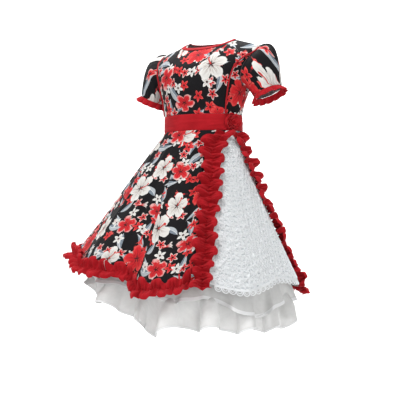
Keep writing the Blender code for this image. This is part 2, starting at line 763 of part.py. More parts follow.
def make_petticoats():
    """Both organza layers, each of six panels."""
    for layer, name, columns in ((0, "petticoat_upper_", 11), (1, "petticoat_lower_", 13)):
        for piece in range(6):
            first = -180.0 + 60.0 * piece
            outer, inner = [], []
            for share in (0.015, 0.2, 0.45, 0.7, 0.86, 1.0):
                half = gap_angle(share)
                angles = [first + half + (60.0 - 2 * half) * j / (columns - 1) for j in range(columns)]
                outer.append([petticoat_point(a, share, layer) for a in angles])
                inner.append([petticoat_point(a, share, layer, -ORGANZA) for a in angles])
            wall(name + str(piece + 1), outer, inner, "organza")


for thing in list(bpy.data.objects):
    bpy.data.objects.remove(thing)
dress = bpy.data.collections.new("cueca_dress")
bpy.context.scene.collection.children.link(dress)
make_bodice()
make_neck_binding()
make_sleeves()
make_waistband()
make_rosette()
make_skirt()
make_panel_ruffles()
make_hem_ruffles()
make_petticoats()
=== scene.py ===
import math

import bpy
import numpy as np
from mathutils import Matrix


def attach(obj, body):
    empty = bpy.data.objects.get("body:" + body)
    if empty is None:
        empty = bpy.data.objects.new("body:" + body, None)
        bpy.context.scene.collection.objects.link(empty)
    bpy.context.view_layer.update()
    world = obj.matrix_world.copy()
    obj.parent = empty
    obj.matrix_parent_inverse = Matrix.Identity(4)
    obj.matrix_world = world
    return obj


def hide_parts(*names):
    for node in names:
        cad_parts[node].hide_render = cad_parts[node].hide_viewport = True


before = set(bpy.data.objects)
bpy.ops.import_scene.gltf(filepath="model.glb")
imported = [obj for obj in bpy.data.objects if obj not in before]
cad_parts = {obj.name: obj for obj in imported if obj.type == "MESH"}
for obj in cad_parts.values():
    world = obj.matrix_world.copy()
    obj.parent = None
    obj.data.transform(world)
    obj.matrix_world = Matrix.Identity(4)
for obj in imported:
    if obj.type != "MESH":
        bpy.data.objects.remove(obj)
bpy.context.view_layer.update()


# Studio: a seamless sweep of pale paper, four soft boxes and a level camera that looks at the dress
# from its left front, as a shop photographs a worn garment.

FLOOR_Z = -1.38
SWEEP_WIDTH = 9.0
SWEEP_FRONT = -4.2
SWEEP_BACK = 3.4
SWEEP_HEIGHT = 5.0
SWEEP_ROUND = 1.2
CAMERA_AZIMUTH = 32.0
CAMERA_DISTANCE = 2.8
CAMERA_ASIDE = -0.0395
CAMERA_Z = -0.5214
CAMERA_LENS = 76.5


def paper_sweep():
    """The floor and the wall behind in one sheet, joined by a quarter round."""
    bend = [math.radians(a) for a in range(0, 91, 10)]
    profile = [(SWEEP_FRONT, 0.0)]
    profile += [
        (SWEEP_BACK - SWEEP_ROUND * (1 - math.sin(a)), SWEEP_ROUND * (1 - math.cos(a))) for a in bend
    ]
    profile.append((SWEEP_BACK, SWEEP_HEIGHT))
    turn = math.radians(CAMERA_AZIMUTH)
    points, faces = [], []
    for along, up in profile:
        for across in (-SWEEP_WIDTH / 2, SWEEP_WIDTH / 2):
            x = across * math.cos(turn) - along * math.sin(turn)
            y = across * math.sin(turn) + along * math.cos(turn)
            points.append((x, y, FLOOR_Z + up))
    for k in range(len(profile) - 1):
        faces.append((2 * k, 2 * k + 1, 2 * k + 3, 2 * k + 2))
    mesh = bpy.data.meshes.new("paper_sweep")
    mesh.from_pydata(points, [], faces)
    mesh.shade_smooth()
    paper = bpy.data.materials.new("pale paper")
    paper.use_nodes = True
    paper.node_tree.nodes["Principled BSDF"].inputs["Base Color"].default_value = (0.96, 0.96, 0.96, 1)
    paper.node_tree.nodes["Principled BSDF"].inputs["Roughness"].default_value = 0.9
    mesh.materials.append(paper)
    sweep = bpy.data.objects.new("paper_sweep", mesh)
    bpy.context.collection.objects.link(sweep)


def soft_box(name, place, aim, size, power):
    lamp = bpy.data.lights.new(name, "AREA")
    lamp.shape = "SQUARE"
    lamp.size = size
    lamp.energy = power
    box = bpy.data.objects.new(name, lamp)
    bpy.context.collection.objects.link(box)
    box.location = place
    toward = np.array(aim, float) - np.array(place, float)
    yaw = math.atan2(toward[1], toward[0]) - math.pi / 2
    pitch = math.atan2(toward[2], math.hypot(toward[0], toward[1])) + math.pi / 2
    box.rotation_euler = (pitch, 0, yaw)


paper_sweep()
soft_box("key light", (-0.9, -3.1, 1.3), (0, 0, -0.45), 1.2, 26)
soft_box("fill light", (3.0, -1.4, 0.3), (0, 0, -0.5), 2.4, 34)
soft_box("top light", (0.1, -1.7, 2.4), (0, 0, -0.5), 1.0, 66)
soft_box("paper light", (-0.6, 1.3, 2.6), (-1.9, 3.2, -0.5), 2.4, 190)
world = bpy.data.worlds.new("studio")
world.use_nodes = True
world.node_tree.nodes["Background"].inputs["Color"].default_value = (1, 1, 1, 1)
world.node_tree.nodes["Background"].inputs["Strength"].default_value = 0.32
bpy.context.scene.world = world
bpy.context.scene.view_settings.view_transform = "Standard"

lens = bpy.data.cameras.new("camera")
lens.lens = CAMERA_LENS
lens.sensor_width = 36.0
camera = bpy.data.objects.new("camera", lens)
bpy.context.collection.objects.link(camera)
bpy.context.scene.camera = camera
azimuth = math.radians(CAMERA_AZIMUTH)
camera.location = (
    CAMERA_DISTANCE * math.sin(azimuth) + CAMERA_ASIDE * math.cos(azimuth),
    -CAMERA_DISTANCE * math.cos(azimuth) + CAMERA_ASIDE * math.sin(azimuth),
    CAMERA_Z,
)
camera.rotation_euler = (math.radians(90), 0, azimuth)


# Bodice: a centre front, two side fronts and two backs in printed cotton poplin, joined by princess
# seams, side seams, shoulder seams and a centre back seam. Its form follows the sections of the
# trunk, and the cloth lies nearly smooth, with a few soft pulls from the bust and the waist.

SEAM = 0.0003
POPLIN = 0.0008
CLOTH_LIFT = 0.0002
SHOULDER_HALF_WIDTH = 0.176
NECK_HALF_WIDTH = 0.083
NECK_DROP_FRONT = 0.031
NECK_DROP_BACK = 0.008
SHOULDER_SLOPE = 0.30
ARMPIT_Z = -0.165
ARMHOLE_HALF_ANGLE = 24.0
BAND_TOP = -0.2500

TRUNK = {
    "z": (-0.250, -0.205, -0.165, -0.130, -0.100, -0.075, -0.050, -0.030, -0.014, 0.0),
    "half_width": (0.134, 0.142, 0.153, 0.163, 0.172, 0.179, 0.184, 0.184, 0.181, 0.176),
    "front": (0.103, 0.113, 0.126, 0.131, 0.124, 0.106, 0.083, 0.059, 0.034, 0.0004),
    "back": (0.095, 0.099, 0.104, 0.107, 0.106, 0.100, 0.087, 0.067, 0.042, 0.0004),
    "centre_x": (-0.012, -0.010, -0.008, -0.006, -0.005, -0.004, -0.002, -0.001, 0.0, 0.0),
    "centre_y": (-0.035, -0.031, -0.026, -0.021, -0.017, -0.013, -0.009, -0.006, -0.003, 0.0),
    "corner": (2.0, 2.05, 2.15, 2.25, 2.4, 2.5, 2.6, 2.6, 2.5, 2.4),
}
PRINCESS = {
    "z": (-0.250, -0.205, -0.165, -0.130, -0.100, -0.080, -0.060, -0.045),
    "angle": (58.0, 56.5, 55.0, 54.0, 54.0, 56.0, 61.0, 69.0),
}


def read(table, key, column, at):
    """A table's column at many places, on a smooth curve through its rows."""
    xs, ys = np.array(table[key], float), np.array(table[column], float)
    rise = np.diff(ys) / np.diff(xs)
    before, after = np.append(rise[:1], rise), np.append(rise, rise[-1:])
    slope = np.where(before * after > 0, 0.5 * (before + after), 0.0)
    at = np.clip(at, xs[0], xs[-1])
    i = np.clip(np.searchsorted(xs, at, side="right") - 1, 0, len(xs) - 2)
    span = xs[i + 1] - xs[i]
    u = (at - xs[i]) / span
    return (
        ys[i] * (1 + 2 * u) * (1 - u) ** 2
        + ys[i + 1] * u * u * (3 - 2 * u)
        + span * (slope[i] * u * (1 - u) ** 2 - slope[i + 1] * u * u * (1 - u))
    )


def unit(vectors):
    return vectors / np.maximum(np.linalg.norm(vectors, axis=-1, keepdims=True), 1e-9)


def stack(x, y, z):
    return np.stack(np.broadcast_arrays(x, y, z), axis=-1)


def trunk_point(angle, z):
    """The bodice's outer surface at an angle and at its height before the shoulders slope."""
    at = {column: read(TRUNK, "z", column, z) for column in TRUNK if column != "z"}
    sine, cosine = np.sin(np.radians(angle)), np.cos(np.radians(angle))
    across = np.copysign(np.abs(sine) ** (2.0 / at["corner"]), sine)
    along = np.copysign(np.abs(cosine) ** (2.0 / at["corner"]), cosine)
    depth = np.where(cosine > 0, at["front"], at["back"])
    x = at["half_width"] * across
    raised = np.clip((z - ARMPIT_Z) / -ARMPIT_Z, 0.0, 1.0)
    slope = SHOULDER_SLOPE * np.maximum(0.0, np.abs(x) - NECK_HALF_WIDTH) * raised * raised
    return stack(x + at["centre_x"], at["centre_y"] - depth * along, z - slope)


def trunk_normal(angle, z):
    """Outward from the bodice, straight up along the shoulder line so that both sides agree."""
    step, rise = 0.5, 0.001
    level = np.abs(np.cos(np.radians(angle))) < 0.02
    angle = np.where(level, np.where(angle > 0, 89.0, -89.0), angle)
    turn = trunk_point(angle + step, z) - trunk_point(angle - step, z)
    climb = trunk_point(angle, np.minimum(z + rise, 0.0)) - trunk_point(angle, np.maximum(z - rise, BAND_TOP))
    normal = unit(np.cross(turn, climb))
    shoulder = stack(normal[..., 0] * 0.3, 0.0, np.maximum(normal[..., 2], 0.2))
    normal = np.where((z > -0.002)[..., None], unit(shoulder), normal)
    level = np.abs(np.abs(angle) - 90.0) < 2.0
    return np.where(level[..., None], unit(stack(normal[..., 0], 0.0, normal[..., 2])), normal)


def armhole_half_angle(z):
    """How far the armhole opens to each side of the side line at a height."""
    rise = np.clip((z - ARMPIT_Z) / -ARMPIT_Z, 0.0, 1.0)
    return ARMHOLE_HALF_ANGLE * np.sqrt(np.maximum(0.0, np.sin(math.pi * rise ** 0.85)))


def neck_edge(turn, grow=0.0):
    """The neckline at a turn of 0 at the centre front and 180 at the centre back, as angle and height."""
    side = math.degrees(math.asin((NECK_HALF_WIDTH / SHOULDER_HALF_WIDTH) ** 1.2))
    cosine = np.cos(np.radians(turn))
    drop = np.where(cosine > 0, NECK_DROP_FRONT, NECK_DROP_BACK)
    off = (side + grow / SHOULDER_HALF_WIDTH * 57.3) * np.sin(np.radians(turn))
    return np.where(cosine >= 0, off, 180.0 - off), -(drop + grow) * np.abs(cosine)


def neck_height(angle):
    """The height of the neckline over a column at this angle, or the shoulder line beside the neck."""
    reach = float(neck_edge(90.0)[0])
    away = np.minimum(np.abs(angle), 180.0 - np.abs(angle))
    drop = np.where(np.abs(angle) < 90.0, NECK_DROP_FRONT, NECK_DROP_BACK)
    return -drop * np.sqrt(np.clip(1.0 - (away / reach) ** 2, 0.0, 1.0))


def flat_cut(points, wrapped=False):
    """Where each point lies on the flat cloth, in metres from the middle of the piece's first row."""
    ring = np.concatenate((points, points[:, :1]), axis=1) if wrapped else points
    across = np.linalg.norm(np.diff(ring, axis=1), axis=-1)
    u = np.concatenate((np.zeros((len(ring), 1)), np.cumsum(across, axis=1)), axis=1)
    middle = ring.shape[1] // 2
    down = np.linalg.norm(np.diff(ring[:, middle], axis=0), axis=-1)
    v = np.append(0.0, np.cumsum(down))
    return np.stack((u - u[:, middle:middle + 1], np.broadcast_to(v[:, None], u.shape)), axis=-1)


def surface_normals(points, away, wrapped=False):
    """Each point's normal on a grid, on the side that the vectors in away point to."""
    if wrapped:
        ring = np.concatenate((points[:, -1:], points, points[:, :1]), axis=1)
        across = (ring[:, 2:] - ring[:, :-2])
    else:
        across = np.gradient(points, axis=1)
    normal = unit(np.cross(across, np.gradient(points, axis=0)))
    return normal if (normal * away).sum() > 0 else -normal


def creased(cut, rows):
    """The height of soft ridges and troughs drawn on the flat cloth, each faded towards its ends."""
    total = np.zeros(cut.shape[:-1])
    for u0, v0, u1, v1, width, depth, bow in rows:
        line = np.array((u1 - u0, v1 - v0))
        length = np.hypot(*line)
        from_start = cut - np.array((u0, v0))
        t = np.clip(from_start @ line / length ** 2, -1.0, 2.0)
        aside = (from_start[..., 0] * line[1] - from_start[..., 1] * line[0]) / length
        aside = aside - bow * 4.0 * t * (1.0 - t)
        fade = np.where((t > 0) & (t < 1), np.abs(np.sin(math.pi * np.clip(t, 0, 1))) ** 0.7, 0.0)
        total += depth * np.exp(-((aside / width) ** 2)) * fade
    return total


def shell(name, outer, away, thick, finishes, wrapped=False, place=(0.0, 0.0), inner=None):
    """A closed thin cloth from a grid of outer points, with its UV map in metres on the flat cut."""
    if inner is None:
        inner = outer - surface_normals(outer, away, wrapped) * thick
    rows, columns = outer.shape[:2]
    index = np.arange(rows * columns).reshape(rows, columns)
    if wrapped:
        index = np.concatenate((index, index[:, :1]), axis=1)
    cut = (flat_cut(outer, wrapped) + np.array(place)).reshape(-1, 2)
    spot = np.arange(index.size).reshape(index.shape)

    def corners(grid, shift=0):
        grid = grid + shift
        return np.stack((grid[:-1, :-1], grid[:-1, 1:], grid[1:, 1:], grid[1:, :-1]), axis=-1).reshape(-1, 4)

    def rim(line, shift):
        return np.stack((line[1:], line[:-1], line[:-1] + shift, line[1:] + shift), axis=-1)

    inside = rows * columns
    faces = [corners(index), corners(index, inside)[:, ::-1]]
    spots = [corners(spot), corners(spot)[:, ::-1]]
    lines = [(index[0], spot[0]), (index[-1][::-1], spot[-1][::-1])]
    if not wrapped:
        lines += [(index[:, 0][::-1], spot[:, 0][::-1]), (index[:, -1], spot[:, -1])]
    for line, place_line in lines:
        faces.append(rim(line, inside))
        spots.append(rim(place_line, 0))
    sides = len(corners(index))
    faces, spots = np.concatenate(faces), np.concatenate(spots)
    points = np.concatenate((outer.reshape(-1, 3), inner.reshape(-1, 3)))
    first = points[faces[:sides]]
    face_normal = np.cross(first[:, 2] - first[:, 0], first[:, 3] - first[:, 1])
    thickness = points[faces[:sides, 0]] - points[faces[:sides, 0] + inside]
    if (face_normal * thickness).sum() < 0:
        faces, spots = faces[:, ::-1], spots[:, ::-1]
    mesh = bpy.data.meshes.new(name)
    mesh.from_pydata(points.tolist(), [], faces.tolist())
    layer = mesh.uv_layers.new(name="cut")
    layer.data.foreach_set("uv", cut[spots.reshape(-1)].astype(np.float32).reshape(-1))
    for finish in finishes:
        mesh.materials.append(finish)
    if len(finishes) > 1:
        slots = np.zeros(len(faces), np.int32)
        slots[sides:2 * sides] = 1
        mesh.polygons.foreach_set("material_index", slots)
    mesh.shade_smooth()
    mesh.set_sharp_from_angle(angle=math.radians(70))
    piece = bpy.data.objects.new(name, mesh)
    bpy.context.collection.objects.link(piece)
    return piece


def sew_on(piece, outer, nodes, wrapped=False):
    """Puts a cloth piece in its node's place, and works out the width, length and area of its flat cut
    without using them.
    """
    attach(piece, "root")
    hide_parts(*nodes)
    ring = np.concatenate((outer, outer[:, :1]), axis=1) if wrapped else outer
    width = np.linalg.norm(np.diff(ring, axis=1), axis=-1).sum(axis=1).max()
    length = np.linalg.norm(np.diff(ring, axis=0), axis=-1).sum(axis=0).max()
    one, two = ring[1:, 1:] - ring[:-1, :-1], ring[1:, :-1] - ring[:-1, 1:]
    area = 0.5 * np.linalg.norm(np.cross(one, two), axis=-1).sum()
    width, length = round(float(width) + 0.001, 3), round(float(length) + 0.001, 3)


class Term:
    """A value in a node tree, so that a pattern can be written as a formula."""

    def __init__(self, tree, socket):
        self.tree, self.socket = tree, socket

    def math(self, operation, *others):
        node = self.tree.nodes.new("ShaderNodeMath")
        node.operation = operation
        for place, value in zip(node.inputs, (self, *others)):
            feed(self.tree, place, value)
        return Term(self.tree, node.outputs[0])

    def __add__(self, other):
        return self.math("ADD", other)

    def __sub__(self, other):
        return self.math("SUBTRACT", other)

    def __mul__(self, other):
        return self.math("MULTIPLY", other)

    def __pow__(self, other):
        return self.math("POWER", other)

    def step(self, low, high):
        """From 0 below low to 1 above high, smoothly."""
        node = self.tree.nodes.new("ShaderNodeMapRange")
        node.interpolation_type = "SMOOTHSTEP"
        for place, value in zip(node.inputs, (self, low, high, 0.0, 1.0)):
            feed(self.tree, place, value)
        return Term(self.tree, node.outputs[0])


def feed(tree, socket, value):
    if isinstance(value, Term):
        tree.links.new(value.socket, socket)
    else:
        socket.default_value = value


def vector_math(tree, operation, *values):
    node = tree.nodes.new("ShaderNodeVectorMath")
    node.operation = operation
    for place, value in zip(node.inputs, values):
        feed(tree, place, value)
    return Term(tree, node.outputs[0])


def parts_of(tree, vector):
    node = tree.nodes.new("ShaderNodeSeparateXYZ")
    feed(tree, node.inputs[0], vector)
    return Term(tree, node.outputs[0]), Term(tree, node.outputs[1]), Term(tree, node.outputs[2])


def mixed(tree, share, under, over):
    node = tree.nodes.new("ShaderNodeMix")
    node.data_type = "RGBA"
    feed(tree, node.inputs[0], share)
    feed(tree, node.inputs[6], under)
    feed(tree, node.inputs[7], over)
    return Term(tree, node.outputs[2])


def noise(tree, vector, scale, detail=2.0):
    node = tree.nodes.new("ShaderNodeTexNoise")
    feed(tree, node.inputs["Vector"], vector)
    node.inputs["Scale"].default_value = scale
    node.inputs["Detail"].default_value = detail
    return Term(tree, node.outputs["Fac"])


def pattern_group(name, inputs, outputs):
    """A new node group, with its inputs as terms in a dictionary and its output node."""
    tree = bpy.data.node_groups.new(name, "ShaderNodeTree")
    kinds = {"Vector": "NodeSocketVector", "Colour": "NodeSocketColor", "Float": "NodeSocketFloat"}
    for label, kind in inputs:
        tree.interface.new_socket(label, in_out="INPUT", socket_type=kinds[kind])
    for label, kind in outputs:
        tree.interface.new_socket(label, in_out="OUTPUT", socket_type=kinds[kind])
    entry = tree.nodes.new("NodeGroupInput")
    leave = tree.nodes.new("NodeGroupOutput")
    return tree, {label: Term(tree, entry.outputs[label]) for label, _ in inputs}, leave


def use_group(tree, group, **values):
    node = tree.nodes.new("ShaderNodeGroup")
    node.node_tree = group
    for label, value in values.items():
        feed(tree, node.inputs[label], value)
    return node


MOTIF_INPUTS = (
    ("Place", "Vector"), ("Size", "Float"), ("Turn", "Float"), ("Petal", "Colour"),
    ("Edge", "Colour"), ("Vein", "Colour"), ("Throat", "Colour"),
)
MOTIF_OUTPUTS = (("Colour", "Colour"), ("Mask", "Float"))


def motif_frame(tree, given):
    """The place within a motif in units of its size, turned, as x, y and distance from its centre."""
    scaled = tree.nodes.new("ShaderNodeVectorMath")
    scaled.operation = "SCALE"
    feed(tree, scaled.inputs[0], given["Place"])
    inverse = tree.nodes.new("ShaderNodeMath")
    inverse.operation = "DIVIDE"
    inverse.inputs[0].default_value = 1.0
    feed(tree, inverse.inputs[1], given["Size"])
    tree.links.new(inverse.outputs[0], scaled.inputs[3])
    turned = tree.nodes.new("ShaderNodeVectorRotate")
    turned.rotation_type = "Z_AXIS"
    tree.links.new(scaled.outputs[0], turned.inputs["Vector"])
    feed(tree, turned.inputs["Angle"], given["Turn"])
    place = Term(tree, turned.outputs[0])
    x, y, _ = parts_of(tree, place)
    return place, x, y, (x * x + y * y).math("SQRT")


def petals(x, y, count, sway):
    """How far a direction lies from its petal's middle line, from 0 to 1 at the cleft."""
    turn = y.math("ARCTAN2", x) * (count / (2 * math.pi)) + sway
    return (turn.math("FRACT") - 0.5).math("ABSOLUTE") * 2.0


def finish_motif(tree, leave, colour, mask):
    feed(tree, leave.inputs["Colour"], colour)
    feed(tree, leave.inputs["Mask"], mask)


def hibiscus_motif():
    """A large open flower: five broad ruffled petals with fine veins, a dark throat and a long pistil."""
    tree, given, leave = pattern_group("hibiscus", MOTIF_INPUTS, MOTIF_OUTPUTS)
    place, x, y, r = motif_frame(tree, given)
    ruffle = noise(tree, place, 3.4) - 0.5
    b = petals(x, y, 5, ruffle * 0.35)
    edge = b ** 2.6 * -0.44 + 1.0 + ruffle * 0.34
    t = r.math("DIVIDE", edge)
    mask = (edge - r).step(-0.012, 0.012)
    veins = (b * 12.5 + t * 1.2 + ruffle * 6.0).math("SINE").step(0.0, 0.9) * t.step(0.92, 0.25)
    colour = mixed(tree, veins * 0.72, given["Petal"], given["Vein"])
    colour = mixed(tree, b.step(0.74, 1.0) * t.step(0.15, 0.6) * 0.80, colour, given["Vein"])
    colour = mixed(tree, (noise(tree, place, 2.2) - 0.5 + t).step(0.65, 1.15) * 0.85, colour, given["Edge"])
    colour = mixed(tree, (t + b * 0.12).step(0.36, 0.14), colour, given["Throat"])
    stalk = (y + x * x * 0.35).math("ABSOLUTE").step(0.055, 0.035) * x.step(0.0, 0.04) * x.step(0.62, 0.56)
    head = ((x - 0.6) * (x - 0.6) + (y + 0.13) * (y + 0.13)).step(0.013, 0.006)
    colour = mixed(tree, stalk.math("MAXIMUM", head), colour, (0.50, 0.035, 0.03, 1))
    finish_motif(tree, leave, colour, mask)
    return tree


def star_motif():
    """A small open flower of five pointed petals."""
    tree, given, leave = pattern_group("star flower", MOTIF_INPUTS, MOTIF_OUTPUTS)
    place, x, y, r = motif_frame(tree, given)
    b = petals(x, y, 5, 0.0)
    edge = (b * -1.0 + 1.0) ** 0.75 * 0.72 + 0.26 + (noise(tree, place, 2.5) - 0.5) * 0.22
    colour = mixed(tree, r.math("DIVIDE", edge).step(0.62, 0.98), given["Petal"], given["Edge"])
    colour = mixed(tree, b.step(0.13, 0.05) * r.step(0.75, 0.3) * 0.7, colour, given["Vein"])
    colour = mixed(tree, r.step(0.24, 0.13), colour, given["Throat"])
    finish_motif(tree, leave, colour, (edge - r).step(-0.02, 0.02))
    return tree


def leaf_motif():
    """A long pointed leaf with a pale midrib and side veins."""
    tree, given, leave = pattern_group("leaf", MOTIF_INPUTS, MOTIF_OUTPUTS)
    place, x, y, _ = motif_frame(tree, given)
    bent = y + x * x * 0.22 - 0.06
    half = (x * x * -1.0 + 1.0).math("MAXIMUM", 0.0) * (x * -0.12 + 0.29)
    away = bent.math("ABSOLUTE")
    side = (x * 15.0 - away * 17.0).math("SINE").step(0.55, 0.95)
    colour = mixed(tree, side * 0.55, given["Petal"], given["Vein"])
    colour = mixed(tree, (bent * 4.0 + noise(tree, place, 2.0)).step(0.3, 0.9) * 0.6, colour, given["Edge"])
    colour = mixed(tree, away.step(0.035, 0.015), colour, given["Throat"])
    finish_motif(tree, leave, colour, (half - away).step(-0.015, 0.015))
    return tree


def trumpet_motif():
    """A small flower seen from the side: a slim tube that opens into a turned-back rim."""
    tree, given, leave = pattern_group("trumpet flower", MOTIF_INPUTS, MOTIF_OUTPUTS)
    _, x, y, _ = motif_frame(tree, given)
    half = (x + 0.2).math("MAXIMUM", 0.0) ** 2.2 * 0.55 + 0.09
    rim = (y * 14.0).math("SINE") * 0.07 + 0.66
    inside = (half - y.math("ABSOLUTE")).step(-0.02, 0.02) * (rim - x).step(-0.02, 0.02) * x.step(-0.95, -0.9)
    colour = mixed(tree, x.step(0.0, 0.6), given["Petal"], given["Edge"])
    veins = (y * 26.0).math("SINE").step(0.4, 1.0) * x.step(0.0, 0.4) * 0.7
    colour = mixed(tree, veins, colour, given["Vein"])
    colour = mixed(tree, x.step(-0.45, -0.6), colour, given["Throat"])
    finish_motif(tree, leave, colour, inside)
    return tree


GROUND = (0.007, 0.0065, 0.008, 1)
WHITE_PETAL = (0.64, 0.63, 0.60, 1)
WHITE_VEIN = (0.27, 0.19, 0.16, 1)
RED_PETAL = (0.58, 0.020, 0.026, 1)
DEEP_RED = (0.17, 0.006, 0.010, 1)
CORAL = (0.70, 0.09, 0.08, 1)
BLUE_GREY = (0.19, 0.23, 0.27, 1)
PALE_GREY = (0.55, 0.58, 0.60, 1)
DARK_THROAT = (0.05, 0.012, 0.015, 1)

# Each motif's colours in the order petal, edge, vein and throat.
COLOURINGS = {
    "white": (WHITE_PETAL, (0.76, 0.75, 0.72, 1), WHITE_VEIN, DARK_THROAT),
    "red": (RED_PETAL, CORAL, DEEP_RED, DARK_THROAT),
    "variegated": (RED_PETAL, (0.76, 0.62, 0.58, 1), DEEP_RED, GROUND),
    "leaf": (BLUE_GREY, PALE_GREY, (0.10, 0.12, 0.15, 1), (0.66, 0.68, 0.69, 1)),
    "bud": (RED_PETAL, WHITE_PETAL, DEEP_RED, (0.10, 0.13, 0.10, 1)),
}

# The large flowers of one repeat: where each lies, its radius, turn and squeeze, and its colouring.
REPEAT = (0.300, 0.340)
LARGE_FLOWERS = (
    (0.035, 0.040, 0.050, 0.3, 1.00, "white"),
    (0.150, 0.105, 0.037, 2.1, 1.30, "variegated"),
    (0.245, 0.205, 0.050, 4.0, 1.10, "white"),
    (0.070, 0.175, 0.034, 1.2, 1.00, "variegated"),
    (0.170, 0.280, 0.040, 5.3, 0.80, "red"),
    (0.262, 0.065, 0.030, 3.3, 1.30, "red"),
    (0.085, 0.300, 0.032, 0.9, 0.70, "white"),
)

# Small motifs on a jittered grid: motif, cell, radius, share of cells filled, seed and two colourings.
HALF_CELL = (0.5, 0.5, 0.0)
JITTER_SHARE = (0.34, 0.34, 0.0)
SMALL_MOTIFS = (
    ("leaf", 0.061, 0.031, 0.50, 3.0, "leaf", "leaf"),
    ("leaf", 0.079, 0.039, 0.38, 11.0, "leaf", "leaf"),
    ("trumpet flower", 0.060, 0.025, 0.42, 23.0, "bud", "red"),
    ("star flower", 0.045, 0.0185, 0.56, 37.0, "red", "variegated"),
    ("star flower", 0.053, 0.0195, 0.44, 51.0, "white", "red"),
)


def colours_for(tree, pick, one, two):
    """The four colours of a motif, from one colouring or the other where pick is 1."""
    names = ("Petal", "Edge", "Vein", "Throat")
    return {
        name: first if one == two else mixed(tree, pick, first, second)
        for name, first, second in zip(names, COLOURINGS[one], COLOURINGS[two])
    }


def floral_print():
    """The printed pattern: small motifs scattered on near black, with large flowers over them."""
    made = {"hibiscus": hibiscus_motif(), "star flower": star_motif()}
    made.update({"leaf": leaf_motif(), "trumpet flower": trumpet_motif()})
    tree, given, leave = pattern_group("floral print", (("Cut", "Vector"),), (("Colour", "Colour"),))
    colour = GROUND
    for motif, cell, size, filled, seed, one, two in SMALL_MOTIFS:
        scaled = vector_math(tree, "DIVIDE", given["Cut"], (cell, cell, 1.0))
        grid = vector_math(tree, "ADD", scaled, (seed, seed * 1.7, 0.0))
        chance = tree.nodes.new("ShaderNodeTexWhiteNoise")
        chance.noise_dimensions = "3D"
        cell_middle = vector_math(tree, "ADD", vector_math(tree, "FLOOR", grid), (0.5, 0.5, seed))
        feed(tree, chance.inputs["Vector"], cell_middle)
        jitter = Term(tree, chance.outputs["Color"])
        middle = vector_math(tree, "MULTIPLY", vector_math(tree, "SUBTRACT", jitter, HALF_CELL), JITTER_SHARE)
        local = vector_math(tree, "SUBTRACT", vector_math(tree, "FRACTION", grid), HALF_CELL)
        local = vector_math(tree, "SUBTRACT", local, middle)
        _, _, third = parts_of(tree, jitter)
        fate = Term(tree, chance.outputs["Value"])
        node = use_group(
            tree, made[motif], Place=vector_math(tree, "MULTIPLY", local, (cell, cell, 0.0)), Size=size,
            Turn=third * 6.283, **colours_for(tree, (fate * 7.31).math("FRACT").step(0.49, 0.51), one, two),
        )
        mask = Term(tree, node.outputs["Mask"]) * fate.math("LESS_THAN", filled)
        colour = mixed(tree, mask, colour, Term(tree, node.outputs["Colour"]))
    half = (REPEAT[0] / 2, REPEAT[1] / 2, 1.0)
    for x, y, size, turn, squeeze, colouring in LARGE_FLOWERS:
        moved = vector_math(tree, "SUBTRACT", given["Cut"], (x, y, 0.0))
        local = vector_math(tree, "WRAP", moved, half, tuple(-h for h in half))
        local = vector_math(tree, "MULTIPLY", local, (1.0, squeeze, 1.0))
        node = use_group(
            tree, made["hibiscus"], Place=local, Size=size, Turn=turn,
            **colours_for(tree, 0.0, colouring, colouring),
        )
        colour = mixed(tree, Term(tree, node.outputs["Mask"]), colour, Term(tree, node.outputs["Colour"]))
    feed(tree, leave.inputs["Colour"], colour)
    return tree


def on_cut(tree):
    """The place on the flat cloth, from the piece's own UV map."""
    node = tree.nodes.new("ShaderNodeUVMap")
    node.uv_map = "cut"
    return Term(tree, node.outputs[0])


def weave_height(tree, cut, thread):
    """Plain weave: two sets of threads a thread's width apart, with a little slub."""
    u, v, _ = parts_of(tree, cut)
    turn = 2 * math.pi / (2 * thread)
    warp, weft = (u * turn).math("SINE"), (v * turn).math("SINE")
    return warp * weft * 0.5 + noise(tree, cut, 160.0) * 0.9 + noise(tree, cut, 28.0) * 1.6


def bumped(tree, shader, height, strength, distance):
    node = tree.nodes.new("ShaderNodeBump")
    node.inputs["Strength"].default_value = strength
    node.inputs["Distance"].default_value = distance
    feed(tree, node.inputs["Height"], height)
    tree.links.new(node.outputs[0], shader.inputs["Normal"])


def cloth_finish(name, colour_of, thread=0.0006, rough=0.85, sheen=0.03, bump=0.35):
    """A woven cloth. colour_of makes its colour in the tree from the place on the cut."""
    made = bpy.data.materials.new(name)
    made.use_nodes = True
    tree = made.node_tree
    shader = tree.nodes["Principled BSDF"]
    cut = on_cut(tree)
    feed(tree, shader.inputs["Base Color"], colour_of(tree, cut))
    shader.inputs["Roughness"].default_value = rough
    shader.inputs["Sheen Weight"].default_value = sheen
    shader.inputs["Sheen Roughness"].default_value = 0.5
    shader.inputs["Specular IOR Level"].default_value = 0.14
    bumped(tree, shader, weave_height(tree, cut, thread), bump, 0.0004)
    return made


floral = floral_print()


def printed(tree, cut):
    return Term(tree, use_group(tree, floral, Cut=cut).outputs["Colour"])


def reverse_of_print(tree, cut):
    """The wrong side of the cloth, where the print shows through weakly."""
    return mixed(tree, 0.62, printed(tree, cut), (0.30, 0.27, 0.28, 1))


POPLIN_FINISH = (
    cloth_finish("floral poplin", printed),
    cloth_finish("floral poplin reverse", reverse_of_print),
)

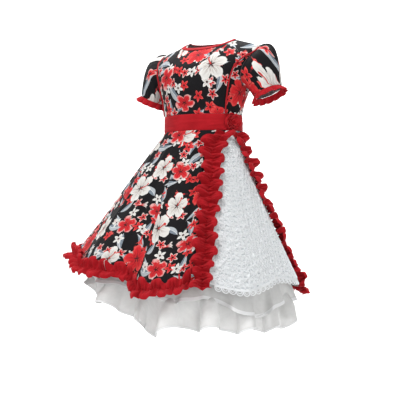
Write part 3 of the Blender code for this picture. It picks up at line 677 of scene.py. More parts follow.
FRONT_CREASES = (
    (-0.105, 0.006, -0.020, 0.030, 0.006, 0.0016, 0.004),
    (0.100, 0.010, 0.030, 0.022, 0.005, -0.0014, 0.003),
    (-0.120, 0.040, -0.060, 0.075, 0.009, 0.0018, 0.006),
    (0.118, 0.038, 0.062, 0.068, 0.008, 0.0016, -0.005),
    (-0.060, 0.120, 0.050, 0.126, 0.012, -0.0012, 0.006),
    (0.085, 0.150, 0.120, 0.200, 0.008, 0.0014, 0.004),
    (-0.090, 0.150, -0.126, 0.196, 0.008, 0.0014, -0.004),
    (-0.030, 0.012, 0.060, 0.007, 0.004, 0.0012, 0.002),
)
BACK_CREASES = (
    (-0.060, 0.006, 0.040, 0.018, 0.006, 0.0015, 0.003),
    (-0.070, 0.034, 0.020, 0.052, 0.008, -0.0015, 0.005),
    (-0.050, 0.110, 0.060, 0.130, 0.012, 0.0016, 0.008),
    (0.030, 0.060, 0.070, 0.030, 0.007, 0.0013, -0.004),
    (-0.075, 0.150, -0.040, 0.200, 0.008, 0.0013, 0.003),
)
SIDE_CREASES = (
    (-0.030, 0.008, 0.030, 0.018, 0.005, 0.0014, 0.002),
    (-0.030, 0.036, 0.026, 0.026, 0.006, -0.0012, 0.003),
    (-0.024, 0.062, 0.030, 0.082, 0.008, 0.0014, -0.004),
)


def seam_dip(shares, width=0.035, depth=0.0005):
    """How far the cloth sinks towards the seams at both ends of its rows."""
    near = np.minimum(shares - shares.min(), shares.max() - shares) / (shares.max() - shares.min())
    return -depth * np.exp(-((near / width) ** 2))


def bodice_panel(name, low, high, angle_at, shares, aside, creases, place, top_at=None):
    """One panel between two seam lines, from the waist up to the neck, shoulder or armhole."""
    reach = np.linspace(0.0, 1.0, 84)[:, None]
    share = shares[None, :]
    height = low + ((high if top_at is None else top_at(share)) - low) * reach
    angle = angle_at(share, height)
    outer = trunk_point(angle, height) + np.array((0.0, aside, 0.0))
    away = outer - np.array((0.0, -0.02, -0.14))
    normal = surface_normals(outer, away)
    cut = flat_cut(outer)
    fade_up = np.sin(math.pi * np.clip(reach * 1.02, 0, 1)) ** 0.35
    fade_across = np.sin(math.pi * (share - shares.min()) / np.ptp(shares)) ** 0.35
    fade = fade_up * fade_across
    lift = creased(cut, creases) * fade + seam_dip(shares)[None, :] + CLOTH_LIFT
    outer = outer + normal * lift[..., None]
    piece = shell(name, outer, away, POPLIN, POPLIN_FINISH, place=place)
    sew_on(piece, outer, [name.replace("_cloth", "")])


half_seam = math.degrees(SEAM / 2 / TRUNK["half_width"][0])
seam_top = PRINCESS["z"][-1]


def front_boundary(z):
    """The angle where the centre front ends: the princess seam, and above it the armhole."""
    blend = np.clip((z - seam_top) / 0.012, 0.0, 1.0)
    armhole = 90.0 - armhole_half_angle(z)
    return (read(PRINCESS, "z", "angle", z) - half_seam) * (1 - blend) + armhole * blend


bodice_panel(
    "bodice_front_cloth", BAND_TOP + SEAM, 0.0, lambda s, z: s * front_boundary(z), np.linspace(-1, 1, 121),
    -SEAM * 0.7, FRONT_CREASES, (0.155, 0.07), lambda s: neck_height(s * 90.0),
)
for side, name in ((1, "left"), (-1, "right")):
    def across_side(share, z, side=side):
        start = read(PRINCESS, "z", "angle", z) + half_seam
        end = np.maximum(90.0 - armhole_half_angle(z), start + 1.5)
        return side * (start + (end - start) * share)

    def across_back(share, z, side=side):
        start = 90.0 + armhole_half_angle(z)
        return side * (start + (180.0 - half_seam - start) * share)

    bodice_panel(
        "bodice_side_front_%s_cloth" % name, BAND_TOP + SEAM, seam_top - 0.006, across_side,
        np.linspace(0, 1, 34), -SEAM * 0.7, SIDE_CREASES, (0.05 + 0.11 * side, 0.21),
    )
    bodice_panel(
        "bodice_back_%s_cloth" % name, BAND_TOP + SEAM, 0.0, across_back, np.linspace(0, 1, 70),
        SEAM * 0.7, BACK_CREASES, (0.02 + 0.13 * side, 0.13),
        lambda s: neck_height(90.0 + (90.0 - half_seam) * s),
    )


# Princess piping and neck binding: a cord wrapped in red bias strip is caught in each princess seam,
# and a red bias strip is folded over the neck edge and stitched along its outer fold.

PIPING_RADIUS = 0.0024
CORD_TOP = -0.016
BINDING_DEPTH = 0.008
BINDING_LIFT = 0.0007
BINDING_CLOTH = 0.0014
STITCH_LENGTH = 0.0022
STITCH_PITCH = 0.0034
STITCH_LIFT = 0.0002
BINDING_STITCH_ROW = 7
THREAD_RADIUS = 0.00028
RED = (0.42, 0.008, 0.015, 1)
RED_WORN = (0.33, 0.005, 0.010, 1)


def red_dye(tree, cut):
    """Plain red, a little uneven in the dye."""
    return mixed(tree, noise(tree, cut, 22.0, 4.0).step(0.30, 0.75), RED, RED_WORN)


def solid_finish(name, colour, worn, rough, grain, depth):
    """A finish for cords and threads, which takes its grain from the object's own coordinates."""
    made = bpy.data.materials.new(name)
    made.use_nodes = True
    tree = made.node_tree
    shader = tree.nodes["Principled BSDF"]
    place = tree.nodes.new("ShaderNodeTexCoord")
    place = Term(tree, place.outputs["Object"])
    feed(tree, shader.inputs["Base Color"], mixed(tree, noise(tree, place, grain / 6), colour, worn))
    shader.inputs["Roughness"].default_value = rough
    shader.inputs["Sheen Weight"].default_value = 0.03
    shader.inputs["Specular IOR Level"].default_value = 0.2
    bumped(tree, shader, noise(tree, place, grain, 3.0), 0.5, depth)
    return made


RED_FINISH = cloth_finish("red poplin", red_dye, sheen=0.05, bump=0.3)
RED_CORD_FINISH = solid_finish("red bias cord", RED, RED_WORN, 0.75, 900.0, 0.0003)
RED_THREAD = solid_finish("red thread", (0.52, 0.03, 0.04, 1), RED, 0.6, 2500.0, 0.0001)


def node_tree_for(name, inputs):
    """A Geometry Nodes tree that takes a wire mesh and these inputs and gives geometry."""
    tree = bpy.data.node_groups.new(name, "GeometryNodeTree")
    tree.interface.new_socket("Geometry", in_out="INPUT", socket_type="NodeSocketGeometry")
    for label, kind in inputs:
        tree.interface.new_socket(label, in_out="INPUT", socket_type="NodeSocket" + kind)
    tree.interface.new_socket("Geometry", in_out="OUTPUT", socket_type="NodeSocketGeometry")
    return tree, tree.nodes.new("NodeGroupInput").outputs, tree.nodes.new("NodeGroupOutput").inputs


def chained(tree, first, *steps):
    """Passes geometry through a row of nodes. Each step is a node type with the links to its other inputs."""
    socket = first
    for kind, links in steps:
        node = tree.nodes.new(kind)
        tree.links.new(socket, node.inputs[0])
        for label, source in links.items():
            if isinstance(source, bpy.types.NodeSocket):
                tree.links.new(source, node.inputs[label])
            else:
                node.inputs[label].default_value = source
        socket = node.outputs[0]
    return socket


def cord_tree():
    """A round cord along every line of a wire mesh."""
    tree, given, leave = node_tree_for(
        "cord along lines", (("Radius", "Float"), ("Sides", "Int"), ("Finish", "Material"))
    )
    circle = tree.nodes.new("GeometryNodeCurvePrimitiveCircle")
    tree.links.new(given["Radius"], circle.inputs["Radius"])
    tree.links.new(given["Sides"], circle.inputs["Resolution"])
    cord = chained(
        tree, given["Geometry"], ("GeometryNodeMeshToCurve", {}),
        ("GeometryNodeCurveToMesh", {"Profile Curve": circle.outputs[0], "Fill Caps": True}),
        ("GeometryNodeSetShadeSmooth", {}), ("GeometryNodeRealizeInstances", {}),
        ("GeometryNodeSetMaterial", {"Material": given["Finish"]}),
    )
    tree.links.new(cord, leave["Geometry"])
    return tree


def stitch_tree():
    """Short threads set end to end along every line of a wire mesh, each a pitch from the next."""
    tree, given, leave = node_tree_for(
        "stitches along lines",
        (("Pitch", "Float"), ("Length", "Float"), ("Radius", "Float"), ("Finish", "Material")),
    )
    spread = tree.nodes.new("GeometryNodeCurveToPoints")
    spread.mode = "LENGTH"
    tree.links.new(chained(tree, given["Geometry"], ("GeometryNodeMeshToCurve", {})), spread.inputs[0])
    tree.links.new(given["Pitch"], spread.inputs["Length"])
    turn = tree.nodes.new("FunctionNodeAlignRotationToVector")
    turn.axis = "Z"
    tree.links.new(spread.outputs["Tangent"], turn.inputs["Vector"])
    thread = tree.nodes.new("GeometryNodeMeshCylinder")
    thread.inputs["Vertices"].default_value = 6
    tree.links.new(given["Radius"], thread.inputs["Radius"])
    tree.links.new(given["Length"], thread.inputs["Depth"])
    stitches = chained(
        tree, spread.outputs["Points"],
        ("GeometryNodeInstanceOnPoints", {"Instance": thread.outputs["Mesh"], "Rotation": turn.outputs[0]}),
        ("GeometryNodeRealizeInstances", {}), ("GeometryNodeSetShadeSmooth", {}),
        ("GeometryNodeSetMaterial", {"Material": given["Finish"]}),
    )
    tree.links.new(stitches, leave["Geometry"])
    return tree


def grown(name, lines, tree, closed=False, **inputs):
    """A plain mesh that a Geometry Nodes tree grows along lines of points."""
    points, edges = [], []
    for line in lines:
        first, count = len(points), len(line)
        points += [tuple(p) for p in line]
        edges += [(first + k, first + k + 1) for k in range(count - 1)]
        if closed:
            edges.append((first + count - 1, first))
    wire = bpy.data.meshes.new(name + "_line")
    wire.from_pydata(points, edges, [])
    piece = bpy.data.objects.new(name, wire)
    bpy.context.collection.objects.link(piece)
    growth = piece.modifiers.new("growth", "NODES")
    growth.node_group = tree
    for socket in tree.interface.items_tree:
        if socket.in_out == "INPUT" and socket.name in inputs:
            growth[socket.identifier] = inputs[socket.name]
    evaluated = piece.evaluated_get(bpy.context.evaluated_depsgraph_get())
    mesh = bpy.data.meshes.new_from_object(evaluated)
    mesh.name = name
    piece.modifiers.remove(growth)
    piece.data = mesh
    bpy.data.meshes.remove(wire)
    return piece


CORDS, STITCHES = cord_tree(), stitch_tree()

for side, name in ((1, "left"), (-1, "right")):
    z = np.linspace(BAND_TOP + 0.002, CORD_TOP, 110)
    angle = side * (front_boundary(z) + half_seam)
    line = trunk_point(angle, z) + trunk_normal(angle, z) * PIPING_RADIUS
    piece = grown(
        "princess_cord_" + name, [line], CORDS, Radius=PIPING_RADIUS, Sides=12, Finish=RED_CORD_FINISH,
    )
    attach(piece, "root")
    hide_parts("princess_piping_" + name)

turn = np.linspace(-180, 180, 264, endpoint=False)[None, :]
grow = np.linspace(-BINDING_CLOTH, BINDING_DEPTH, 9)[:, None]
angle, z = neck_edge(np.abs(turn), grow)
angle, z = np.where(turn < 0, -1, 1) * np.abs(angle), np.minimum(z, 0.0)
base, normal = trunk_point(angle, z), trunk_normal(angle, z)
round_fold = np.sin(math.pi * np.linspace(0.06, 0.94, 9))[:, None] ** 0.5
pucker = 0.00018 * np.sin(np.radians(turn * 41 + 30 * np.sin(np.radians(turn * 5))))
outer = base + normal * (BINDING_LIFT + BINDING_CLOTH * (0.45 + 0.75 * round_fold) + pucker)[..., None]
binding = shell(
    "neck_binding_cloth", outer, normal, BINDING_CLOTH, (RED_FINISH,), wrapped=True,
    inner=base + normal * BINDING_LIFT,
)
edge = outer[BINDING_STITCH_ROW] + normal[BINDING_STITCH_ROW] * STITCH_LIFT
stitches = grown(
    "neck_binding_stitches", [edge], STITCHES, closed=True, Pitch=STITCH_PITCH, Length=STITCH_LENGTH,
    Radius=THREAD_RADIUS, Finish=RED_THREAD,
)
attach(stitches, "root")
sew_on(
    binding, outer, ["neck_binding"], wrapped=True,
)


# Sleeves: short puffs cut in one piece, gathered into the armhole and again into the cuff, with a
# narrow gathered frill of red poplin hanging from each cuff.

SLEEVE_GATHERS = 8
GATHER_DEPTH = 0.0022
CUFF_CENTRE = np.array((0.217, -0.014, -0.181))
CUFF_RADIUS = 0.047
CUFF_TILT = math.radians(24.0)
FRILL = {
    "drop": (0.0006, 0.008, 0.019),
    "flare": (-0.0002, 0.0045, 0.0095),
    "wave": (0.0, 0.0022, 0.0050),
}
FRILL_WAVES = 12
THIN_RED_CLOTH = 0.0009


def cuff_point(turn, side, radius, drop=0.0):
    out = np.array((math.cos(CUFF_TILT), 0.0, math.sin(CUFF_TILT)))
    down = np.array((math.sin(CUFF_TILT), 0.0, -math.cos(CUFF_TILT)))
    cosine, sine = np.cos(np.radians(turn)), np.sin(np.radians(turn))
    ring = out * cosine[..., None] - np.array((0, 1.0, 0)) * sine[..., None]
    point = CUFF_CENTRE + ring * np.asarray(radius)[..., None] + down * np.asarray(drop)[..., None]
    return point * np.array((side, 1, 1)) + np.array((-0.003, 0.0, 0.0))


def sleeve_point(turn, w, side):
    """The sleeve from the armhole at w = 0 to the cuff at w = 1, and its outward direction."""
    cosine = np.cos(np.radians(turn))
    height = np.minimum(ARMPIT_Z * 0.5 * (1 - cosine), -0.0006)
    half = armhole_half_angle(height)
    angle = side * np.where(turn <= 180.0, 90.0 - half, 90.0 + half)
    start = trunk_point(angle, height) + trunk_normal(angle, height) * 0.0004
    away = start - np.array((side * 0.163, -0.010, -0.105))
    away[..., 0] = 0.0
    away = unit(away)
    start = start - away * 0.0012 + np.array((side * 0.0009, 0, 0))
    top = 0.5 * (1 + cosine)
    end = cuff_point(turn, side, np.full_like(turn, CUFF_RADIUS))
    centre = cuff_point(np.zeros(1), side, np.zeros(1))[0]
    inward = unit(centre - end)
    down = np.array((side * math.sin(CUFF_TILT), 0.0, -math.cos(CUFF_TILT)))
    reach = (0.040 + 0.175 * top ** 0.8)[..., None]
    rise = (0.30 + 0.28 * np.sin(np.radians(turn)) ** 2)[..., None]
    leave = unit(np.array((side, 0, 0)) + away * rise) * reach
    arrive = unit(down + inward * 0.30) * reach
    w = w[..., None]
    point = start * (1 + 2 * w) * (1 - w) ** 2 + end * w * w * (3 - 2 * w)
    point = point + leave * w * (1 - w) ** 2 - arrive * w * w * (1 - w)
    middle = start * (1 - w) + centre * w
    return point, unit(point - middle + np.array((side * 0.3, 0, 0.2)) * (1 - w) * 0.05)


SLEEVE_CREASES = (
    (-0.060, 0.020, -0.030, 0.090, 0.009, 0.0022, 0.004),
    (-0.020, 0.014, -0.028, 0.070, 0.008, -0.0020, 0.004),
    (0.030, 0.016, 0.010, 0.085, 0.009, 0.0022, -0.004),
    (0.070, 0.018, 0.075, 0.075, 0.008, -0.0018, 0.004),
    (0.105, 0.030, 0.090, 0.090, 0.010, 0.0020, 0.003),
    (-0.110, 0.030, -0.095, 0.085, 0.009, 0.0018, -0.003),
)

for side, name in ((1, "left"), (-1, "right")):
    turn, w = np.meshgrid(np.linspace(0, 360, 224, endpoint=False), np.linspace(0, 1, 46))
    base, out = sleeve_point(turn, w, side)
    broad = np.cos(np.radians(turn * SLEEVE_GATHERS)) * np.sin(math.pi * w) * (1 - 0.45 * w)
    wander = 28 * np.sin(np.radians(turn * 3 + 40)) + 17 * np.sin(np.radians(turn * 7))
    head = np.cos(np.radians(turn * 26 + wander)) * np.exp(-w / 0.17) * w.clip(0, 0.05) / 0.05
    cuff = np.cos(np.radians(turn * 30 - wander)) * np.exp(-(1 - w) / 0.14) * (1 - w).clip(0, 0.05) / 0.05
    top = 0.35 + 0.65 * np.cos(np.radians(turn / 2)) ** 2
    creases = creased(flat_cut(base, True)[:, :-1], SLEEVE_CREASES)
    lift = GATHER_DEPTH * broad + 0.0017 * head * top + 0.0014 * cuff + creases
    outer = base + out * lift[..., None]
    piece = shell(
        "sleeve_%s_cloth" % name, outer, out, POPLIN, POPLIN_FINISH, wrapped=True,
        place=(0.165 + 0.04 * side, 0.24),
    )
    sew_on(piece, outer, ["sleeve_" + name], wrapped=True)

    turn, drop = np.meshgrid(np.linspace(0, 360, 288, endpoint=False), np.linspace(0.0006, 0.0192, 11))
    share = (drop - 0.0006) / 0.0186
    uneven = 1 + 0.22 * np.sin(np.radians(turn * 2 + 50)) + 0.16 * np.sin(np.radians(turn * 5))
    wave = np.cos(np.radians(turn * FRILL_WAVES + 40 * share * np.sin(np.radians(turn * 3))))
    small = 0.0010 * np.cos(np.radians(turn * 2 * FRILL_WAVES + 70)) * share
    curl = 5.0 * share ** 2 * np.sin(np.radians(turn * FRILL_WAVES))
    flare = read(FRILL, "drop", "flare", drop)
    swing = read(FRILL, "drop", "wave", drop)
    size = CUFF_RADIUS + flare + swing * wave * uneven + small
    outer = cuff_point(turn + curl, side, size + CLOTH_LIFT, drop)
    away = outer - cuff_point(turn, side, np.zeros_like(turn), drop)
    frill = shell(
        "sleeve_frill_" + name, outer, away, THIN_RED_CLOTH, (RED_FINISH,), wrapped=True,
        place=(0.3 * side, 0.0),
    )
    sew_on(
        frill, outer, ["sleeve_ruffle_" + name], wrapped=True,
    )


# Waistband and rosette: a plain band of doubled red poplin sewn between bodice and skirt, and a long
# strip of red cloth coiled and gathered into a rose, sewn over a small cushion at the wearer's left.
# The rose's red is painted light: lighter than the band's, so that the rose looks more brightly lit.

BAND_HEIGHT = 0.052
BAND_BULGE = 0.0012
BAND_CLOTH = 0.0012
WAIST_HALF_WIDTH = 0.1345
WAIST_HALF_DEPTH = 0.1035
ROSETTE_ANGLE = 69.0
ROSETTE_RADIUS = 0.0298
ROSETTE_HEIGHT = 0.016
ROSETTE_TURNS = 4.4
CUSHION_CLOTH = 0.0008
# The rose's red is painted light: lighter than the band's red, so that the rose looks more brightly lit.
ROSE_PAINTED_LIGHT_RED = (0.56, 0.014, 0.022, 1)
UP = np.array((0, 0, 1.0))


def flat_normal(angle):
    """Level and outward from the waist ellipse."""
    turn = np.radians(angle)
    return unit(stack(np.sin(turn) * WAIST_HALF_DEPTH, -np.cos(turn) * WAIST_HALF_WIDTH, 0.0))


def waist_point(angle, z, out=0.0):
    """The waistband's outer surface, a short cone that carries on from the bodice."""
    sine, cosine = np.sin(np.radians(angle)), np.cos(np.radians(angle))
    depth = np.where(cosine > 0, TRUNK["front"][0], TRUNK["back"][0])
    down = (BAND_TOP - z) / BAND_HEIGHT
    half_depth = depth * (1 - down) + WAIST_HALF_DEPTH * down
    half_width = TRUNK["half_width"][0] * (1 - down) + WAIST_HALF_WIDTH * down
    x = TRUNK["centre_x"][0] + half_width * sine
    y = TRUNK["centre_y"][0] - half_depth * cosine
    return stack(x, y, z) + flat_normal(angle) * np.asarray(out)[..., None]


BAND_CREASES = (
    (-0.110, 0.014, -0.010, 0.018, 0.0035, -0.0011, 0.002),
    (-0.060, 0.030, 0.080, 0.026, 0.0040, 0.0013, 0.003),
    (0.020, 0.014, 0.120, 0.019, 0.0030, -0.0010, -0.002),
    (-0.130, 0.036, -0.030, 0.040, 0.0035, -0.0010, 0.002),
    (0.060, 0.038, 0.128, 0.034, 0.0035, 0.0011, 0.002),
    (-0.240, 0.020, -0.150, 0.026, 0.0040, 0.0012, 0.003),
    (0.180, 0.018, 0.300, 0.028, 0.0040, 0.0012, -0.003),
    (-0.340, 0.030, -0.260, 0.022, 0.0040, -0.0011, 0.002),
    (0.260, 0.036, 0.340, 0.032, 0.0035, -0.0010, 0.002),
)

angle, share = np.meshgrid(np.linspace(-180, 180, 300, endpoint=False), np.linspace(0, 1, 27))
z = BAND_TOP - SEAM / 2 - share * (BAND_HEIGHT - SEAM)
swell = np.clip(np.minimum(share, 1 - share) / 0.10, 0, 1)
base = waist_point(angle, z)
lift = 0.0006 + BAND_BULGE * swell ** 0.6 + creased(flat_cut(base, True)[:, :-1], BAND_CREASES) * swell
outer = base + flat_normal(angle) * lift[..., None]
band = shell(
    "waistband_cloth", outer, flat_normal(angle), BAND_CLOTH, (RED_FINISH,), wrapped=True, place=(0.4, 0.3),
)
sew_on(band, outer, ["waistband"], wrapped=True)

z = BAND_TOP - BAND_HEIGHT / 2
out = flat_normal(ROSETTE_ANGLE)
base = waist_point(ROSETTE_ANGLE, z, BAND_BULGE + BAND_CLOTH)
across = unit(np.cross(UP, out))


def on_rosette(size, spin, height):
    """A point at a distance from the rosette's axis, a turn round it and a height over the band."""
    return (
        base + across * (size * np.cos(spin))[..., None] + UP * (size * np.sin(spin))[..., None]
        + out * height[..., None]
    )


def rose_red_with_painted_light(tree, cut):
    """Painted light: a lighter red than the poplin's, so that the rose looks more brightly lit, and uneven in
    the dye.
    """
    return mixed(tree, noise(tree, cut, 22.0, 4.0), ROSE_PAINTED_LIGHT_RED, RED)


along, up = np.meshgrid(np.linspace(0, 1, 420), np.linspace(0, 1, 9))
turn = 2 * math.pi * ROSETTE_TURNS * along
lobes = np.sin(turn * 5.37 + 1.1 * np.sin(turn * 1.9)) * (0.25 + 0.75 * along)
size = 0.0022 + (ROSETTE_RADIUS - 0.0085) * along ** 0.80
size = size + up ** 1.5 * (0.0040 + 0.0024 * lobes) + up * (1 - up) * 0.0030
dome = ROSETTE_HEIGHT * (0.56 - 0.34 * along ** 2.2)
height = dome + 0.0098 * up + 0.0012 * up * np.sin(turn * 3.1) - 0.0036 * along * up ** 4
spin = turn + 0.05 * up * np.sin(turn * 7)
outer = on_rosette(size, spin, height)
away = outer - base - out * height[..., None]
ROSE_FINISH = cloth_finish("red poplin ribbon", rose_red_with_painted_light, sheen=0.08, bump=0.3)
rose = shell("rosette_cloth", outer, away, THIN_RED_CLOTH, (ROSE_FINISH,), place=(0.7, 0.1))
spin, reach = np.meshgrid(np.linspace(0, 2 * math.pi, 48, endpoint=False), np.linspace(0.02, 1, 12))
size = (ROSETTE_RADIUS - 0.0050) * reach
height = 0.0006 + ROSETTE_HEIGHT * (0.62 - 0.40 * reach ** 2) * (1 - reach ** 8)
cushion = on_rosette(size, spin, height)
seat = shell(
    "rosette_seat", cushion, np.broadcast_to(out, cushion.shape), CUSHION_CLOTH, (RED_FINISH,), wrapped=True,
)
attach(seat, "root")
sew_on(rose, outer, ["rosette"])


# Skirt: six flared gores of the printed poplin hang in soft folds from the waistband and part at the
# wearer's left over the godet. The seams run from the waist to the hem.

GODET_SEAM = 0.0012
SKIRT = {
    "angle": (-180, -130, -90, -60, -30, -12, 6, 20, 33, 60, 90, 113, 145, 180),
    "flare": (25.0, 31.0, 35.0, 36.5, 34.5, 33.0, 32.0, 31.0, 29.5, 26.5, 22.0, 20.0, 21.0, 25.0),
    "bell": (0.12, 0.08, 0.08, 0.08, 0.06, 0.04, 0.04, 0.04, 0.05, 0.14, 0.28, 0.34, 0.28, 0.12),
    "slant": (0.545, 0.525, 0.50, 0.50, 0.52, 0.52, 0.568, 0.552, 0.518, 0.52, 0.525, 0.53, 0.54, 0.545),
}
FOLDS = {
    "angle": (-170, -146, -124, -98, -74, -50, -27, -5, 15, 52, 74, 96, 128, 152, 172),
    "width": (11, 9, 12, 9, 11, 9, 11, 8, 10, 11, 11, 11, 10, 11, 8),
    "depth": (
        0.016, -0.020, 0.018, -0.022, 0.014, -0.016, 0.012, -0.036, 0.018, 0.010, -0.010, 0.008,
        -0.018, 0.018, -0.014,
    ),
}
FOLD_START = 0.18
GODET = {
    "slant": (0.0, 0.04, 0.10, 0.25, 0.50, 0.75, 1.0, 1.2),
    "front": (60.0, 50.0, 42.0, 38.5, 36.0, 34.5, 33.5, 33.0),
    "back": (78.0, 81.5, 84.5, 89.0, 98.0, 107.0, 113.0, 116.0),
}

# Creases in the hung skirt: angle and slant length at both ends, half width and height.
SKIRT_CREASES = (
    (-172, 0.02, -166, 0.30, 0.010, 0.0040),
    (-158, 0.05, -155, 0.42, 0.013, -0.0045),
    (-136, 0.02, -138, 0.28, 0.010, 0.0040),
    (-129, 0.12, -132, 0.47, 0.014, -0.0050),
    (-110, 0.03, -112, 0.36, 0.011, 0.0045),
    (-88, 0.02, -90, 0.30, 0.010, -0.0040),
    (-82, 0.16, -80, 0.46, 0.014, 0.0050),
    (-62, 0.02, -66, 0.34, 0.010, 0.0042),
    (-56, 0.20, -58, 0.47, 0.013, -0.0045),
    (-40, 0.01, -38, 0.30, 0.009, -0.0038),
    (-33, 0.10, -36, 0.47, 0.012, 0.0045),
    (-18, 0.01, -17, 0.40, 0.010, 0.0045),
    (-12, 0.16, -14, 0.50, 0.012, -0.0045),
    (4, 0.02, 5, 0.36, 0.010, 0.0040),
    (9, 0.18, 8, 0.52, 0.011, 0.0050),
    (22, 0.03, 25, 0.40, 0.010, -0.0045),
    (29, 0.10, 28, 0.48, 0.010, 0.0040),
    (50, 0.10, 47, 0.44, 0.012, 0.0035),
    (63, 0.08, 66, 0.46, 0.013, -0.0035),
    (84, 0.12, 88, 0.44, 0.012, 0.0035),
    (106, 0.06, 118, 0.44, 0.011, 0.0042),
    (118, 0.02, 124, 0.34, 0.010, -0.0040),
    (136, 0.05, 138, 0.46, 0.012, 0.0045),
    (148, 0.02, 146, 0.30, 0.010, -0.0038),
    (160, 0.08, 163, 0.48, 0.013, 0.0045),
    (176, 0.02, 176, 0.36, 0.010, -0.0040),
)


def flare_at(angle):
    return np.radians(read(SKIRT, "angle", "flare", angle))


def slant_at(angle):
    return read(SKIRT, "angle", "slant", angle)


def cone_radius(length):
    """About how far the skirt stands from its axis at a length down the slant."""
    return 0.118 + 0.26 * length / 0.5


def fold_depth(angle, s):
    """How far the folds push the cloth out or in at a fraction of the slant."""
    share = np.maximum(0.0, (s - FOLD_START) / (1 - FOLD_START))
    total = 0.0
    for place, width, depth in zip(FOLDS["angle"], FOLDS["width"], FOLDS["depth"]):
        away = (angle - place + 180.0) % 360.0 - 180.0
        total = total + depth * np.exp(-((away / width) ** 2))
    return total * share ** 1.3


def skirt_out(angle):
    """Outward from the plain cone."""
    flare = flare_at(angle)
    return flat_normal(angle) * np.cos(flare)[..., None] + stack(0.0, 0.0, np.sin(flare))


def skirt_point(angle, length, out=0.0):
    """The floral skirt's outer surface at an angle and a length down the slant."""
    flare, slant = flare_at(angle), slant_at(angle)
    radial = flat_normal(angle)
    bell = 1.0 - read(SKIRT, "angle", "bell", angle) * np.maximum(0.0, 1.0 - length / slant)
    level = length * np.sin(flare) * bell + fold_depth(angle, length / slant)
    start = waist_point(angle, BAND_TOP - BAND_HEIGHT - SEAM / 2)
    drop = stack(0.0, 0.0, length * np.cos(flare))
    return start + radial * level[..., None] - drop + skirt_out(angle) * np.asarray(out)[..., None]


def skirt_creased(angle, length):
    """The soft ridges and troughs that run down between the main folds."""
    total = 0.0
    for angle_0, length_0, angle_1, length_1, width, depth in SKIRT_CREASES:
        t = (length - length_0) / (length_1 - length_0)
        away = (angle - angle_0 - (angle_1 - angle_0) * t + 180.0) % 360.0 - 180.0
        aside = np.radians(away) * cone_radius(length)
        fade = np.sin(math.pi * np.clip(t, 0, 1)) ** 0.8
        total = total + depth * np.exp(-((aside / (width * (0.7 + 0.6 * t.clip(0, 1)))) ** 2)) * fade
    return total


def seam_angle(edge, s, hem=None):
    """A seam's angle at a fraction of the cloth's own slant: a fixed angle, or an edge of the godet."""
    if not isinstance(edge, str):
        return np.full_like(s, edge)
    angle = read(GODET, "slant", edge, s)
    for _ in range(4 if hem else 0):
        angle = read(GODET, "slant", edge, s * hem(angle) / slant_at(angle))
    return angle


def skirt_grid(start, end, rows, columns, hem=None):
    """Angles and slant lengths over a skirt piece between two seams."""
    s = np.linspace(0, 1, rows)
    gaps = [(GODET_SEAM if isinstance(edge, str) else SEAM) / 2 for edge in (start, end)]
    radius = 0.11 + 0.25 * s
    first = seam_angle(start, s, hem) + np.degrees(gaps[0] / radius)
    last = seam_angle(end, s, hem) - np.degrees(gaps[1] / radius)
    angle = first[:, None] + (last - first)[:, None] * np.linspace(0, 1, columns)[None, :]
    return angle, s[:, None] * (slant_at(angle) if hem is None else hem(angle))


GORES = (
    ("gore_front_left", 0.0, "front", (0.105, 0.02)),
    ("gore_front_right", -60.0, 0.0, (0.02, 0.16)),
    ("gore_side_right", -120.0, -60.0, (0.21, 0.09)),
    ("gore_back_right", -180.0, -120.0, (0.07, 0.26)),
    ("gore_back_left", 146.0, 180.0, (0.25, 0.30)),
    ("gore_side_left", "back", 146.0, (0.16, 0.13)),
)
for name, start, end, place in GORES:
    columns = {"gore_front_left": 58, "gore_side_left": 58, "gore_back_left": 56}.get(name, 88)
    angle, length = skirt_grid(start, end, 104, columns)
    dip = seam_dip(np.linspace(0, 1, columns), 0.03, 0.0007)[None, :]
    lift = CLOTH_LIFT + skirt_creased(angle, length) + dip
    outer = skirt_point(angle, length, lift)
    piece = shell(name + "_cloth", outer, skirt_out(angle), POPLIN, POPLIN_FINISH, place=place)
    sew_on(piece, outer, [name])


# Lace godet: white cotton net covered with close tiers of looped cord, set in the skirt's opening,
# with larger open loops of the same cord along its lower edge.

LOOP_COUNT = 22
LOOP_HEIGHT = 0.017
TIER_PITCH = 0.0160
TIER_LOOP = 0.0160
TIER_RISE = 0.0070
LACE_CORD = 0.0015
LACE_SLANT = 0.52
TIER_ROWS = 64
EDGE_CORD = 0.00125
LACE_HEM = {
    "angle": (33, 43, 53, 65, 78, 92, 104, 114),
    "slant": (0.518, 0.530, 0.538, 0.518, 0.494, 0.500, 0.496, 0.512),
}


def lace_hem(angle):
    """The slant length of the lace, which dips at the front of the godet."""
    return read(LACE_HEM, "angle", "slant", angle)


def lace_colour_with_painted_shade(tree, cut):
    """White cotton, with painted shade that greys the net where it lies low between the tiers of cord."""
    _, v, _ = parts_of(tree, cut)
    tier = (v * (math.pi / TIER_PITCH)).math("SINE").math("ABSOLUTE") + noise(tree, cut, 90.0) * 0.8
    # The grey is painted shade in the low lines of the net between the tiers of cord, made patchy by noise.
    return mixed(tree, tier.step(1.2, 0.4), (0.84, 0.86, 0.87, 1), (0.60, 0.64, 0.66, 1))


LACE_FINISH = cloth_finish("lace net", lace_colour_with_painted_shade, thread=0.0009, sheen=0.1, bump=0.8)
LACE_CORD_FINISH = solid_finish(
    "lace cord", (0.86, 0.87, 0.88, 1), (0.74, 0.77, 0.79, 1), 0.85, 1400.0, 0.0003,
)

angle, length = skirt_grid("front", "back", 150, 84, lace_hem)
tier = np.abs(np.sin(math.pi * length / TIER_PITCH))
loop_turn = math.pi * np.radians(angle) * cone_radius(length) / TIER_LOOP
scallop = 0.35 + 0.65 * np.abs(np.sin(loop_turn))
lift = skirt_creased(angle, length) + 0.0013 * tier ** 0.7 * scallop
outer = skirt_point(angle, length, lift)
panel = shell("lace_panel_net", outer, skirt_out(angle), 0.0010, (LACE_FINISH,))

